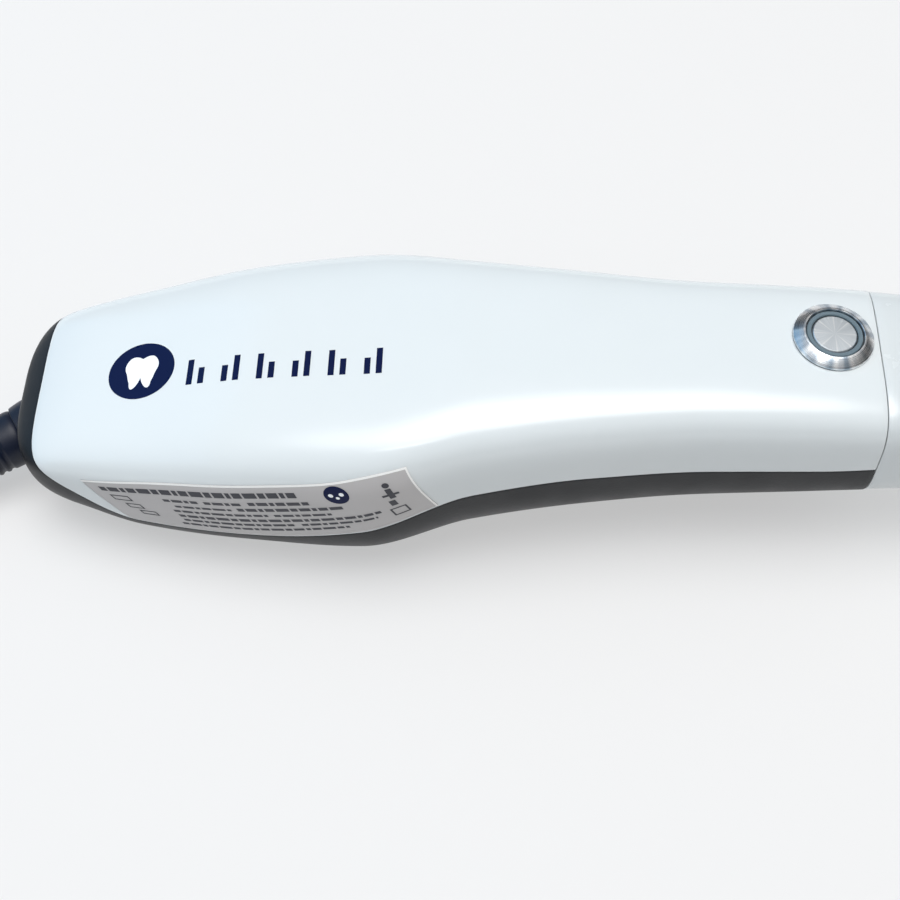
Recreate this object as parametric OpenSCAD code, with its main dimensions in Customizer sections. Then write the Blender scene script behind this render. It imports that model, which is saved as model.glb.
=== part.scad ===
// Intraoral camera: a dental scanner handpiece with a lift-off tip, a lit push button and a USB lead.
// +X runs from the cable end to the tip, +Z is up, and the belly rests on z = 0.

/* [Handle] */
// Half width of the handle at its widest, over the belly
belly_half_w = 24; // [23:0.5:26]
// Height of the top face over the button
crest_z = 36.6; // [36:0.2:38]
// Roundness of the upper half of a section: 2 is an ellipse, more is squarer
upper_power = 4.3; // [3:0.1:5]
// Roundness of the lower half of a section at the belly
belly_power = 2.4; // [2.2:0.1:3]
// Roundness of the lower half of a section at the front and along the tip
lower_power = 3; // [2.4:0.1:4]
// Wall of the two covers
cover_wall = 2; // [1.6:0.1:2.4]
// Where the covers end and the tip begins
joint_x = 32; // [31:0.5:33]
// Rearmost point of the tail wall
tail_x = -108.4; // [-109:0.1:-108]
// Length over which the tail rounds off
tail_round = 8.4; // [7:0.2:12]

/* [Tip] */
// Foremost point of the tip
tip_end_x = 136; // [130:1:140]
// Half width of the tip's nose
nose_half_w = 9.6; // [9:0.1:10.5]
// Wall of the tip
tip_wall = 1.6; // [1.4:0.1:1.8]
// Visible gap between the tip and the handle
tip_gap = 0.35; // [0.3:0.05:0.6]
// Length of the scan window along the tip
scan_window_l = 17; // [14:0.5:18]
// Width of the scan window
scan_window_w = 13.6; // [12:0.2:14]
// Clearance between the snout and the inside of the tip
snout_gap = 0.5; // [0.4:0.05:0.8]
// Foremost point of the snout
snout_end_x = 84; // [78:1:86]

/* [Button] */
// Centre of the button along the handle
button_x = 24.6; // [23:0.2:25]
// Distance of the button's centre from the middle plane, towards the far side
button_y = 1.6; // [0:0.2:2]
// Forward slope of the button, in degrees
button_tilt = 3; // [0:0.5:5]
// Diameter of the metal bezel
bezel_d = 13; // [12.6:0.1:13.6]
// Height of the bezel above its seal
bezel_h = 1.4; // [1:0.1:1.8]
// Diameter of the threaded barrel
barrel_d = 11; // [10.6:0.1:11.2]
// Outer diameter of the light ring
ring_d = 9.2; // [9:0.1:9.4]
// Diameter of the plunger
plunger_d = 7.2; // [7:0.1:7.4]
// Radial clearance between the plunger and the light ring
plunger_fit = 0.05; // [0.03:0.01:0.08]
// Travel of the plunger
button_travel = 1.2; // [0.8:0.1:1.4]

/* [Optics] */
// Height of the optical axis
axis_z = 21.5; // [21:0.1:22]
// Distance of each lens from the middle plane
lens_y = 5.3; // [5.2:0.1:5.5]
// Outer diameter of the camera's lens barrel
camera_d = 8.6; // [8:0.1:9]
// Outer diameter of the projector
projector_d = 9.4; // [9:0.1:9.6]

/* [Cable] */
// Diameter of the lead
cord_d = 5; // [4.8:0.1:5]
// Largest diameter of the rubber boot
boot_d = 10.4; // [10:0.2:12]
// Length of the rubber boot outside the tail
boot_l = 32; // [30:0.5:33]
// Height at which the lead leaves the tail
cable_z = 10.4; // [10:0.2:12]
// Droop of the boot, in degrees
boot_droop = 9; // [6:1:11]
// Sideways turn of the boot, in degrees
boot_yaw = 31; // [26:1:34]

/* [Hidden] */

// Control stations of the handle: [x, half width, top, bottom, height of the widest line,
// height of the line where the covers meet, roundness of the lower half]
handle_stations = [
    [-109, 14.4, 19.4, 4.3, 17.4, 25.2, 2],
    [-104, 15.9, 21.4, 3.1, 16.4, 20.4, 2],
    [-98, 17.7, 23.7, 0.9, 14.8, 15.9, 2],
    [-87, 20.3, 26.6, 0, 13.4, 10.8, 2.3],
    [-69, belly_half_w - 1, crest_z - 5.6, -0.6, 15.2, 11.6, belly_power],
    [-50, belly_half_w + 0.2, crest_z - 2.8, 0, 16.9, 15.6, belly_power + 0.2],
    [-32, 20.8, crest_z - 0.4, 5.7, 21, 22.4, 2.7],
    [-13, 18, crest_z + 0.4, 8.2, 22.6, 24, 2.8],
    [5, 16.2, crest_z + 0.4, 9.6, 23.3, 24, 2.9],
    [24, 15.7, crest_z, 11.4, 24, 24.2, lower_power],
    [36, 15.4, crest_z - 0.8, 12.6, 24.2, 25.2, lower_power]
];
SPLIT = 5;

// Control stations of the tip: [x, half width, top, bottom]
tip_stations = [
    [30, 15.5, crest_z - 0.4, 12.2],
    [45, 14.9, crest_z - 1.7, 13.2],
    [60, 13.5, crest_z - 3.6, 14.6],
    [75, 11.8, crest_z - 5.8, 15.6],
    [90, 10.5, crest_z - 7.4, 15.2],
    [108, nose_half_w, crest_z - 8.7, 14],
    [124, nose_half_w, crest_z - 9.5, 13],
    [136, nose_half_w, crest_z - 10, 12.4]
];

handle_sides = 48;
tip_sides = 40;
tip_base_x = joint_x + tip_gap;
tail_power = 3;
nose_power = 2.4;
nose_round = 11;

// Seat of the button on the upper cover
seat_z = crest_z - 0.2;
seal_h = 0.3;
barrel_l = 7.6;
flange_d = 8.2;
flange_h = 0.8;
ring_bottom = -2.4;
spring_top = ring_bottom - 0.1 - flange_h;
spring_bottom = spring_top - button_travel - 2.1;
nut_h = 1.6;
washer_h = 0.4;
inside_seat = -2.2;

// Optics, along X
bulkhead_xs = [-3, 11];
bulkhead_t = 2;
barrel_back_x = -5;
barrel_front_x = 17;
board_x = -6.6;
bench_front_x = 29;
bench_back_x = -25.6;
bench_z = 15;
bench_t = 1.4;
bench_spots = [[-23, -3.5], [23, 0]];

// Scan window and mirror
mirror_x = 119.5;
mirror_z = 19.6;
mirror_l = 13;
mirror_w = 11.6;
mirror_t = 1;

// Electronics
board_front_x = -28;
board_back_x = -90;
board_half_w = 12.5;
board_z = 13.6;
board_t = 1.6;
screw_spots = [[-72, 16, 3.9], [-72, -16, 3.9], [-24, 13, 10], [-24, -13, 10]];
post_spots = [[-86, 9], [-86, -9], [-34, 9], [-34, -9]];

// Cable
boot_start = [-107, -1.4, cable_z];
boot_in = 5;
boot_end = boot_start
    - boot_l * [cos(boot_droop) * cos(boot_yaw), cos(boot_droop) * sin(boot_yaw), sin(boot_droop)];
clamp_x = -97;
clamp_z = 11.4;
clamp_spots = [5.6, -5.6];

// The hank: 7 turns, each with two runs that draw in to a waist where the tie holds them
hank_x = -224;
hank_half_run = 36;
hank_loop_r = 20.5;
hank_half_w = hank_loop_r + cord_d / 2;
hank_waist = 10.1;
hank_h = 20;
tie_t = 1.2;
tie_w = 12;
plug_x = -246;
plug_z = hank_h + 4.1;

// The lead from the boot to the hank, and from the hank to its plug
run_points = [
    boot_end, [-138, -20, 4.7], [-143, -22.7, 3.7], [-149, -25.2, 3], [-156, -26.8, 2.6], [-163, -27, 2.5],
    [-170, -25.8, 2.5], [-177, -23.6, 2.5], [-184, -21.4, 2.5]
];
end_points = [
    [-186, -15.4, 19], [-192, -13.6, 20.6], [-199, -10.6, 22], [-206, -7.6, 23],
    [-213, -4.8, 23.8], [-220, -2.6, 24.2], [-227, -1.2, 24.2], [-236, 0, 24.1], [plug_x, 0, 24.1]
];
inner_points = [
    [-104, 0.2, 10.9], [-102.5, 0.6, 11.1], [-101, 0.4, clamp_z], [-99.6, 0, clamp_z], [-94.6, 0, clamp_z],
    [-93.2, 0, 12.6],
    [-92.7, 0, 14.2], [-92.3, 0, 16.4], [-91, 0, 17.8], [-88.8, 0, 18]
];
wire_points = [
    [button_x - 2, button_y, 27.4], [button_x - 5, button_y, 27.6], [button_x - 8, button_y, 28.9],
    [button_x - 10.4, button_y, 30.6],
    [6, button_y * 0.7, 31.8], [-6, 0, 31.6], [-15, -0.6, 30.4],
    [-21, -1.6, 27], [-25, -2.4, 22.4], [-29, -3, 18.8], [-31.5, -3.2, 17.4]
];

// Smooth curve through the stations of a table: t[i][0] is x, and k picks the column
function secant(t, i, k) = (t[i + 1][k] - t[i][k]) / (t[i + 1][0] - t[i][0]);
function tangent(t, i, k) =
    i == 0 ? secant(t, 0, k) :
    i == len(t) - 1 ? secant(t, i - 1, k) :
    let (a = secant(t, i - 1, k), b = secant(t, i, k)) a * b <= 0 ? 0 : 2 * a * b / (a + b);
function follow(x, t, k, i = 0) =
    x > t[i + 1][0] && i < len(t) - 2 ? follow(x, t, k, i + 1) :
    let (h = t[i + 1][0] - t[i][0], u = (x - t[i][0]) / h, v = 1 - u)
    (1 + 2 * u) * v * v * t[i][k] + u * v * v * h * tangent(t, i, k)
    + u * u * (3 - 2 * u) * t[i + 1][k] - u * u * v * h * tangent(t, i + 1, k);

// One section: a superellipse whose upper and lower halves have their own height and roundness
function section(x, half_w, top, bottom, mid, sides, down) = [
    for (i = [0:sides - 1])
        let (c = cos(360 * i / sides), s = sin(360 * i / sides))
        [
            x,
            half_w * sign(c) * pow(abs(c), 2 / (s >= 0 ? upper_power : down)),
            mid + (s >= 0 ? (top - mid) * pow(s, 2 / upper_power) : (bottom - mid) * pow(-s, 2 / down))
        ]
];

// How far a section has shrunk at x where an end rounds off
function end_shrink(past, length, power) = past <= 0 ? 1 : pow(1 - pow(min(past / length, 0.985),
    power), 1 / power);

function handle_ring(x, inset) =
    let (
        s = end_shrink(tail_x + tail_round - x, tail_round - inset, tail_power),
        w = follow(x, handle_stations, 1) - inset,
        top = follow(x, handle_stations, 2) - inset,
        bottom = follow(x, handle_stations, 3) + inset,
        mid = follow(x, handle_stations, 4)
    )
    [
        for (q = section(x, w * s, mid + (top - mid) * s, mid - (mid - bottom) * s, mid, handle_sides,
            follow(x, handle_stations, 6))) [q[0], q[1], max(0, q[2])]
    ];

function tip_ring(x, inset, at_x = undef) =
    let (
        s = end_shrink(x - tip_end_x + nose_round, nose_round - inset, nose_power),
        px = is_undef(at_x) ? x : at_x,
        w = follow(px, tip_stations, 1) - inset,
        top = follow(px, tip_stations, 2) - inset,
        bottom = follow(px, tip_stations, 3) + inset,
        mid = (top + bottom) / 2
    )
    section(x, w * s, mid + (top - mid) * s, mid - (mid - bottom) * s, mid, tip_sides, lower_power);

// A closed solid through rings of points that all have the same number of sides
module skin(rings) {
    n = len(rings[0]);
    last = len(rings) - 1;
    polyhedron(
        points = [for (r = rings) each r],
        faces = concat(
            [[for (i = [0:n - 1]) i]],
            [for (j = [0:last - 1], i = [0:n - 1])
                let (k = (i + 1) % n) [j * n + i, (j + 1) * n + i, (j + 1) * n + k, j * n + k]],
            [[for (i = [n - 1:-1:0]) last * n + i]]
        ),
        convexity = 8
    );
}

// A round tube along a list of points
function unit(v) = v / norm(v);
function heading(p, i) = unit(p[min(i + 1, len(p) - 1)] - p[max(i - 1, 0)]);
function tube_rings(p, d, sides) = [
    for (i = [0:len(p) - 1])
        let (t = heading(p, i), a = unit(cross(t, abs(t[2]) > 0.9 ? [1, 0, 0] : [0, 0, 1])), b = cross(t, a))
        [for (j = [0:sides - 1]) p[i] + d / 2 * (cos(360 * j / sides) * a + sin(360 * j / sides) * b)]
];
module tube(p, d, sides) skin(tube_rings(p, d, sides));

module along_x(p, length, d, $fn = 48) translate(p) rotate([0, 90, 0]) cylinder(h = length, d = d);
module block(low, high) translate(low) cube(high - low);
module at_button() translate([button_x, button_y, seat_z]) rotate([0, button_tilt, 0]) children();
module at_boot() translate(boot_start) rotate([0, 0, boot_yaw]) rotate([0, -90 - boot_droop, 0]) children();

// ---- Handle ----
tail_front_x = tail_x + tail_round;
handle_xs = concat(
    [for (u = [0.985, 0.97, 0.94, 0.89, 0.82, 0.72, 0.6, 0.44, 0.24]) tail_x + tail_round * (1 - u)],
    [for (x = [tail_front_x:5:joint_x - 2]) x],
    [joint_x]
);
function shell_xs(inset) = [
    for (x = handle_xs)
        x < tail_front_x ? tail_front_x - (tail_round - inset) * (tail_front_x - x) / tail_round : x
];

module handle_outside() skin([for (x = handle_xs) handle_ring(x, 0)]);
module handle_inside() skin([
    for (x = concat(shell_xs(cover_wall), [joint_x + 1])) handle_ring(x, cover_wall)
]);

// Everything above the line where the covers meet
module above_split() translate([0, 40, 0]) rotate([90, 0, 0]) linear_extrude(80)
    polygon(concat([[joint_x + 2, 60], [tail_x - 3, 60], [tail_x - 3, 26]],
        [for (x = [tail_x:4:joint_x + 1.5]) [x, follow(x, handle_stations, SPLIT)]], [[joint_x + 2, 24]]));

module upper_bosses() for (s = screw_spots) translate([s[0], s[1], 14]) cylinder(h = 26, d = 5.4, $fn = 24);
module lower_bosses() for (s = screw_spots) translate([s[0], s[1], 0.6]) cylinder(h = 13.3, d = 6.4,
    $fn = 24);
module board_posts() for (p = post_spots) translate([p[0], p[1], 1]) cylinder(h = board_z - 1, d = 4.4,
    $fn = 20);
module clamp_posts() for (y = clamp_spots) translate([clamp_x, y, 3]) cylinder(h = clamp_z - 6.4,
    d = 4.4, $fn = 20);
module bench_posts() for (p = bench_spots) translate([p[0], p[1], 8]) cylinder(h = bench_z - 8,
    d = 4.4, $fn = 20);

module upper_cover() color("white") difference() {
    resize([0, 0, 0]) intersection() {
        union() {
            difference() {
                handle_outside();
                handle_inside();
            }
            intersection() {
                handle_outside();
                upper_bosses();
            }
        }
        above_split_or_boss();
    }
    at_button() {
        cylinder(h = 3, d = bezel_d + 0.2, $fn = 64);
        translate([0, 0, -12]) cylinder(h = 14, d = barrel_d + 0.1, $fn = 64);
        translate([0, 0, inside_seat - 8]) cylinder(h = 8, d = 15.6, $fn = 64);
    }
    for (s = screw_spots) translate([s[0], s[1], 13]) cylinder(h = 10, d = 1.8, $fn = 24);
}
module above_split_or_boss() {
    above_split();
    upper_bosses();
}

module lower_cover() color([0.23, 0.24, 0.26]) difference() {
    resize([0, 0, 0]) union() {
        difference() {
            handle_outside();
            handle_inside();
            above_split();
            upper_bosses();
        }
        intersection() {
            handle_outside();
            union() {
                lower_bosses();
                board_posts();
                bench_posts();
                clamp_posts();
            }
        }
    }
    at_boot() translate([0, 0, -boot_in - 2]) cylinder(h = boot_in + 2.3, d = 8.1, $fn = 64);
    at_boot() translate([0, 0, 0.1]) cylinder(h = 8, d = boot_d + 0.1, $fn = 64);
    for (s = screw_spots) {
        translate([s[0], s[1], -1]) cylinder(h = s[2] + 3, d = 4.6, $fn = 32);
        translate([s[0], s[1], -1]) cylinder(h = 16, d = 2.3, $fn = 24);
    }
    for (p = post_spots) translate([p[0], p[1], board_z - 5]) cylinder(h = 6, d = 1.6, $fn = 24);
    for (p = bench_spots) translate([p[0], p[1], bench_z - 4]) cylinder(h = 6, d = 1.6, $fn = 24);
    for (y = clamp_spots) translate([clamp_x, y, clamp_z - 5.6]) cylinder(h = 4, d = 1.6, $fn = 24);
}

module cover_screws() color("silver") for (s = screw_spots) translate([s[0], s[1], s[2]]) difference() {
    union() {
        translate([0, 0, 0.4]) cylinder(h = 1.6, d = 4.2, $fn = 32);
        translate([0, 0, 1.9]) cylinder(h = 21 - s[2], d = 1.8, $fn = 24);
    }
    translate([0, 0, -0.1]) cylinder(h = 1.3, d = 2, $fn = 6);
}

// Thin metallised label on the near side, between the shoulder and the line where the covers meet
label_t = 0.14;
label_xs = [for (x = [tail_front_x:5:-35]) x];
module rating_label() color([0.7, 0.69, 0.68]) resize([0, 0, 0]) intersection() {
    difference() {
        skin([for (x = label_xs) handle_ring(x, -label_t)]);
        skin([for (x = label_xs) handle_ring(x, 0)]);
    }
    rotate([90, 0, 0]) linear_extrude(40) polygon(concat(
        [for (x = [-88.5:4:-38]) [x, follow(x, handle_stations, SPLIT) + 0.4]],
        [[-37.5, 21.2], [-42.5, 31.2], [-48, 30], [-55, 28.2], [-65, 26.4], [-80, 23.6], [-95.5, 19.8]]
    ));
}

// ---- Button ----
module button_housing() color("silver") at_button() rotate_extrude($fn = 72) polygon([
    [ring_d / 2, seal_h + bezel_h - 0.2], [ring_d / 2 + 0.3, seal_h + bezel_h], [bezel_d / 2 - 0.9,
        seal_h + bezel_h],
    [bezel_d / 2, seal_h + 0.5], [bezel_d / 2, seal_h], [barrel_d / 2, seal_h], [barrel_d / 2, -barrel_l],
    [4.2, -barrel_l], [4.2, ring_bottom], [ring_d / 2, ring_bottom]
]);

module button_led_ring() color([0.75, 0.8, 0.82]) at_button() rotate_extrude($fn = 72) polygon([
    [plunger_d / 2 + plunger_fit, ring_bottom], [ring_d / 2, ring_bottom], [ring_d / 2,
        seal_h + bezel_h - 0.35],
    [ring_d / 2 - 0.4, seal_h + bezel_h - 0.2], [plunger_d / 2 + plunger_fit, seal_h + bezel_h - 0.2]
]);

module button_plunger() color("silver") at_button() rotate_extrude($fn = 72) polygon([
    [0, spring_top], [flange_d / 2, spring_top], [flange_d / 2, spring_top + flange_h],
    [plunger_d / 2, spring_top + flange_h], [plunger_d / 2, seal_h + bezel_h - 0.5],
    [plunger_d / 2 - 0.2, seal_h + bezel_h - 0.3], [0, seal_h + bezel_h - 0.3]
]);

spring_turns = 4;
spring_wire = 0.5;
module button_spring() color("silver") at_button() tube([
    for (i = [0:spring_turns * 12])
        let (u = i / (spring_turns * 12), a = 30 * i)
        let (rise = u * (spring_top - spring_bottom - spring_wire))
        [2.7 * cos(a), 2.7 * sin(a), spring_bottom + spring_wire / 2 + rise]
], spring_wire, 6);

module button_base() color([0.15, 0.15, 0.16]) at_button() {
    translate([0, 0, -barrel_l]) cylinder(h = 1, d = 8.4, $fn = 48);
    for (a = [0:90:270]) rotate([0, 0, a + 45]) translate([2.2, 0, -barrel_l - 1.2]) cylinder(h = 1.2,
        d = 0.8, $fn = 16);
}

module washer(z, outer, inner, h) translate([0, 0, z]) difference() {
    cylinder(h = h, d = outer, $fn = 64);
    translate([0, 0, -1]) cylinder(h = h + 2, d = inner, $fn = 64);
}

module button_seal() color([0.1, 0.1, 0.1]) at_button() washer(0, bezel_d - 0.2, barrel_d, seal_h);
module button_washer() color("silver") at_button() washer(inside_seat - washer_h, 13.4, barrel_d, washer_h);
module button_nut() color("silver") at_button() translate([0, 0, inside_seat - washer_h - nut_h]) difference() {
    cylinder(h = nut_h, d = 15.2, $fn = 6);
    translate([0, 0, -1]) cylinder(h = nut_h + 2, d = barrel_d, $fn = 64);
}

module button_wires() color([0.6, 0.1, 0.1]) for (side = [-1, 1])
    tube([for (i = [0:len(wire_points) - 1]) wire_points[i] + [0, side * (i == 0 ? 1.5 : 0.8), 0]], 0.9, 6);

// ---- Snout that the tip slides over ----
snout_xs = [for (x = [joint_x:6.5:snout_end_x]) x];
snout_inset = tip_wall + snout_gap;
snout_wall = 1.4;

module nose_frame() color([0.2, 0.2, 0.22]) difference() {
    resize([0, 0, 0]) difference() {
        union() {
            skin([for (x = [joint_x - 3, joint_x]) handle_ring(x, cover_wall + 0.05)]);
            skin([for (x = [joint_x - 1, each snout_xs, snout_end_x]) snout_ring(x)]);
        }
        skin([for (x = [joint_x - 4, each snout_xs, snout_end_x + 1]) channel_ring(x)]);
    }
    at_button() translate([0, 0, -14]) cylinder(h = 16, d = 16, $fn = 64);
    for (side = [-1, 1]) translate([50, side * 20, axis_z + 2]) rotate([side * 90, 0, 0])
        cylinder(h = 10.4, d = 3.1, $fn = 32);
}
function snout_ring(x) = tip_ring(x, snout_inset, max(x, joint_x));
function channel_ring(x) =
    let (
        xx = max(x, joint_x),
        w = follow(xx, tip_stations, 1) - snout_inset - snout_wall,
        top = min(follow(xx, tip_stations, 2) - snout_inset - snout_wall, 25.8 + max(0, x - joint_x) * 0.4),
        bottom = follow(xx, tip_stations, 3) + snout_inset + snout_wall
    )
    section(x, w, top, bottom, (top + bottom) / 2, tip_sides, lower_power);

window_t = 1.2;
module front_window() color([0.8, 0.9, 0.95, 0.5]) resize([0, 0, 0])
    skin([for (x = [snout_end_x - window_t, snout_end_x]) window_ring(x, 0.52)]);
module window_gasket() color([0.1, 0.1, 0.1]) resize([0, 0, 0]) difference() {
    skin([for (x = [snout_end_x - window_t, snout_end_x - 0.2]) window_ring(x, 0.1)]);
    skin([for (x = [snout_end_x - window_t - 1, snout_end_x + 1]) window_ring(x, 0.5)]);
}
function window_ring(x, gap) = tip_ring(x, snout_inset + snout_wall + gap, snout_end_x);

module tip_detents() color("silver") for (side = [-1, 1])
    translate([50, side * (follow(50, tip_stations, 1) - snout_inset - 1.3),
        axis_z + 2]) rotate([side * 90, 0, 0]) {
        sphere(d = 3, $fn = 32);
        cylinder(h = 1.4, d = 3, $fn = 32);
    }

// ---- Tip ----
tip_xs = concat([tip_base_x], [for (x = [38:6:122]) x],
    [for (u = [0, 0.3, 0.5, 0.66, 0.79, 0.88, 0.94, 0.97, 0.985]) tip_end_x - nose_round * (1 - u)]);
function tip_inner_x(x) = x <= tip_end_x - nose_round ? x :
    tip_end_x - nose_round + (nose_round - tip_wall) * (x - tip_end_x + nose_round) / nose_round;

module rounded_slot(low, high, r) hull() for (x = [low[0] + r, high[0] - r], y = [low[1] + r, high[1] - r])
    translate([x, y, low[2]]) cylinder(h = high[2] - low[2], r = r, $fn = 24);

// The room inside the tip, open at the back
module tip_inside(inset) skin([
    for (x = concat([tip_base_x - 1], tip_xs)) tip_ring(tip_inner_x(x), inset)
]);

module tip_shell() color([0.92, 0.92, 0.91]) resize([0, 0, 0]) difference() {
    skin([for (x = tip_xs) tip_ring(x, 0)]);
    tip_inside(tip_wall);
    rounded_slot(
        [mirror_x - scan_window_l / 2, -scan_window_w / 2, 5],
        [mirror_x + scan_window_l / 2, scan_window_w / 2, 16.4], 3);
}

module at_mirror() translate([mirror_x, 0, mirror_z]) rotate([0, 45, 0]) children();
module tip_mirror() color([0.85, 0.9, 0.95]) at_mirror()
    translate([-mirror_l / 2, -mirror_w / 2, 0]) cube([mirror_l, mirror_w, mirror_t]);
// A plate behind the mirror, with two ribs that reach the inside of the tip
module mirror_cradle() color([0.85, 0.85, 0.85]) resize([0, 0, 0]) intersection() {
    tip_inside(tip_wall + 0.05);
    at_mirror() {
        translate([-mirror_l / 2 + 0.5, -5, mirror_t]) cube([mirror_l - 1, 10, 1]);
        for (y = [-4.4, 3.2]) translate([-mirror_l / 2 + 0.5, y, mirror_t + 0.9]) cube([mirror_l - 1,
            1.2, 9]);
    }
}

// ---- Optics ----
module optical_bench() color([0.6, 0.61, 0.63]) difference() {
    union() {
        block([bench_back_x, -6.2, bench_z], [bench_front_x, 6.2, bench_z + bench_t]);
        for (x = bulkhead_xs) block([x, -11, bench_z], [x + bulkhead_t, 11, 29]);
    }
    for (x = bulkhead_xs) {
        along_x([x - 1, lens_y, axis_z], bulkhead_t + 2, camera_d + 0.1);
        along_x([x - 1, -lens_y, axis_z], bulkhead_t + 2, projector_d + 0.1);
    }
    for (p = bench_spots) translate([p[0], p[1], bench_z - 1]) cylinder(h = 4, d = 2, $fn = 24);
}
module small_screw(p, z, l) translate([p[0], p[1], z]) {
    cylinder(h = 1.2, d = 3.4, $fn = 32);
    translate([0, 0, -l]) cylinder(h = l, d = 1.6, $fn = 24);
}
module bench_screws() color("silver") for (p = bench_spots) small_screw(p, bench_z + bench_t, 4.6);

module hollow_barrel(y, d, bore) difference() {
    union() {
        along_x([barrel_back_x, y, axis_z], barrel_front_x - barrel_back_x, d);
        along_x([barrel_front_x - 2, y, axis_z], 2, d + 0.6);
    }
    along_x([barrel_back_x - 1, y, axis_z], barrel_front_x - barrel_back_x + 2, bore);
}
module lens(y, d) translate([barrel_front_x - 3.4, y, axis_z]) rotate([0, 90, 0]) intersection() {
    cylinder(h = 3, d = d, $fn = 48);
    translate([0, 0, 1.5 + 7]) sphere(r = 8.5, $fn = 48);
    translate([0, 0, 1.5 - 7]) sphere(r = 8.5, $fn = 48);
}

module camera_lens_barrel() color([0.12, 0.12, 0.13]) hollow_barrel(lens_y, camera_d, 6.8);
module camera_lens() color([0.6, 0.75, 0.8]) lens(lens_y, 6.8);
module projector_housing() color([0.12, 0.12, 0.13]) hollow_barrel(-lens_y, projector_d, 7.4);
module projector_lens() color([0.6, 0.75, 0.8]) lens(-lens_y, 7.4);
module camera_board() color([0.1, 0.3, 0.2]) block([board_x, 0.5, 17], [board_x + 1.2, 10.6, 28]);
module image_sensor() color([0.2, 0.2, 0.25]) block([board_x + 1.2, lens_y - 2.6, axis_z - 2.2],
    [board_x + 2.2, lens_y + 2.6, axis_z + 2.2]);
module led_board() color([0.9, 0.9, 0.88]) block([board_x, -10.6, 17], [board_x + 1.2, -0.5, 28]);
module projector_led() color([0.95, 0.9, 0.5]) block([board_x + 1.2, -lens_y - 1.6, axis_z - 1.6],
    [board_x + 2, -lens_y + 1.6, axis_z + 1.6]);
module heat_sink() color([0.75, 0.76, 0.78]) {
    block([board_x - 1.8, -10.6, 17], [board_x, -0.5, 28]);
    for (z = [17:1.96:27]) block([board_x - 12, -10.6, z], [board_x - 1.7, -0.5, z + 1.1]);
}
module camera_flex() color([0.75, 0.5, 0.15]) translate([0, 6.8, 0]) rotate([90, 0,
    0]) linear_extrude(5.8) polygon([
    [board_x, 19], [board_x - 2.5, 19], [board_x - 13, 17.2], [-29, 17.2], [-29, 17], [board_x - 13, 17],
    [board_x - 2.5, 18.8], [board_x, 18.8]
]);

// ---- Electronics ----
module main_board() color([0.08, 0.32, 0.2]) difference() {
    block([board_back_x, -board_half_w, board_z], [board_front_x, board_half_w, board_z + board_t]);
    for (p = post_spots) translate([p[0], p[1], board_z - 1]) cylinder(h = 4, d = 2.1, $fn = 24);
}
module board_chips() color([0.1, 0.1, 0.11]) for (c = [
    [-60, 0, 16, 16, 2], [-44, -5.4, 9, 9, 1.2], [-44, 6, 8, 10, 1], [-76, 0, 7, 7, 1.4], [-76, 9, 5, 4, 1.8]
]) block([c[0] - c[2] / 2, c[1] - c[3] / 2, board_z + board_t], [c[0] + c[2] / 2, c[1] + c[3] / 2,
    board_z + board_t + c[4]]);
module board_screws() color("silver") for (p = post_spots) small_screw(p, board_z + board_t, 5.4);
module cable_header() color([0.9, 0.88, 0.8]) block([-88.8, -5, board_z + board_t], [-82, 5,
    board_z + board_t + 5]);
module flex_header() color([0.9, 0.88, 0.8]) {
    block([-34, 0.6, board_z + board_t], [-29, 7.2, board_z + board_t + 2.2]);
    block([-33.5, -5.2, board_z + board_t], [-30.5, -1.2, board_z + board_t + 2.4]);
}

// ---- Cable ----
module inner_cable() color([0.12, 0.13, 0.16]) tube(inner_points, 4.6, 10);
module cable_clamp() color([0.3, 0.3, 0.32]) difference() {
    block([clamp_x - 2, -8, clamp_z - 3.4], [clamp_x + 2, 8, clamp_z + 3.6]);
    along_x([clamp_x - 4, 0, clamp_z], 8, 4.9);
    for (y = clamp_spots) translate([clamp_x, y, 0]) cylinder(h = 20, d = 1.9, $fn = 24);
}
module clamp_screws() color("silver") for (y = clamp_spots) small_screw([clamp_x, y], clamp_z + 3.6, 8.4);

// A rubber dome at the tail wall, then a tapering sleeve with ribs
boot_rib_zs = [8.2:2.2:24];
module cable_boot() color([0.1, 0.11, 0.14]) at_boot() difference() {
    union() {
        rotate_extrude($fn = 48) polygon(concat(
            [[0, -boot_in], [4, -boot_in], [4, 0.2], [boot_d / 2, 0.2]],
            [for (a = [0:15:75]) [boot_d / 2 - 1.2 + 1.2 * cos(a), 5.4 + 1.4 * sin(a)]],
            [[4, 7.2], [3.7, 9], [3.3, boot_l - 0.6], [2.9, boot_l], [0, boot_l]]
        ));
        for (z = boot_rib_zs) translate([0, 0, z])
            cylinder(h = 1.1, d1 = boot_d - 0.4 - 0.1 * z, d2 = boot_d - 0.8 - 0.1 * z, $fn = 40);
    }
    translate([0, 0, boot_l - 4]) cylinder(h = 5, d = cord_d, $fn = 40);
}

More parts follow.
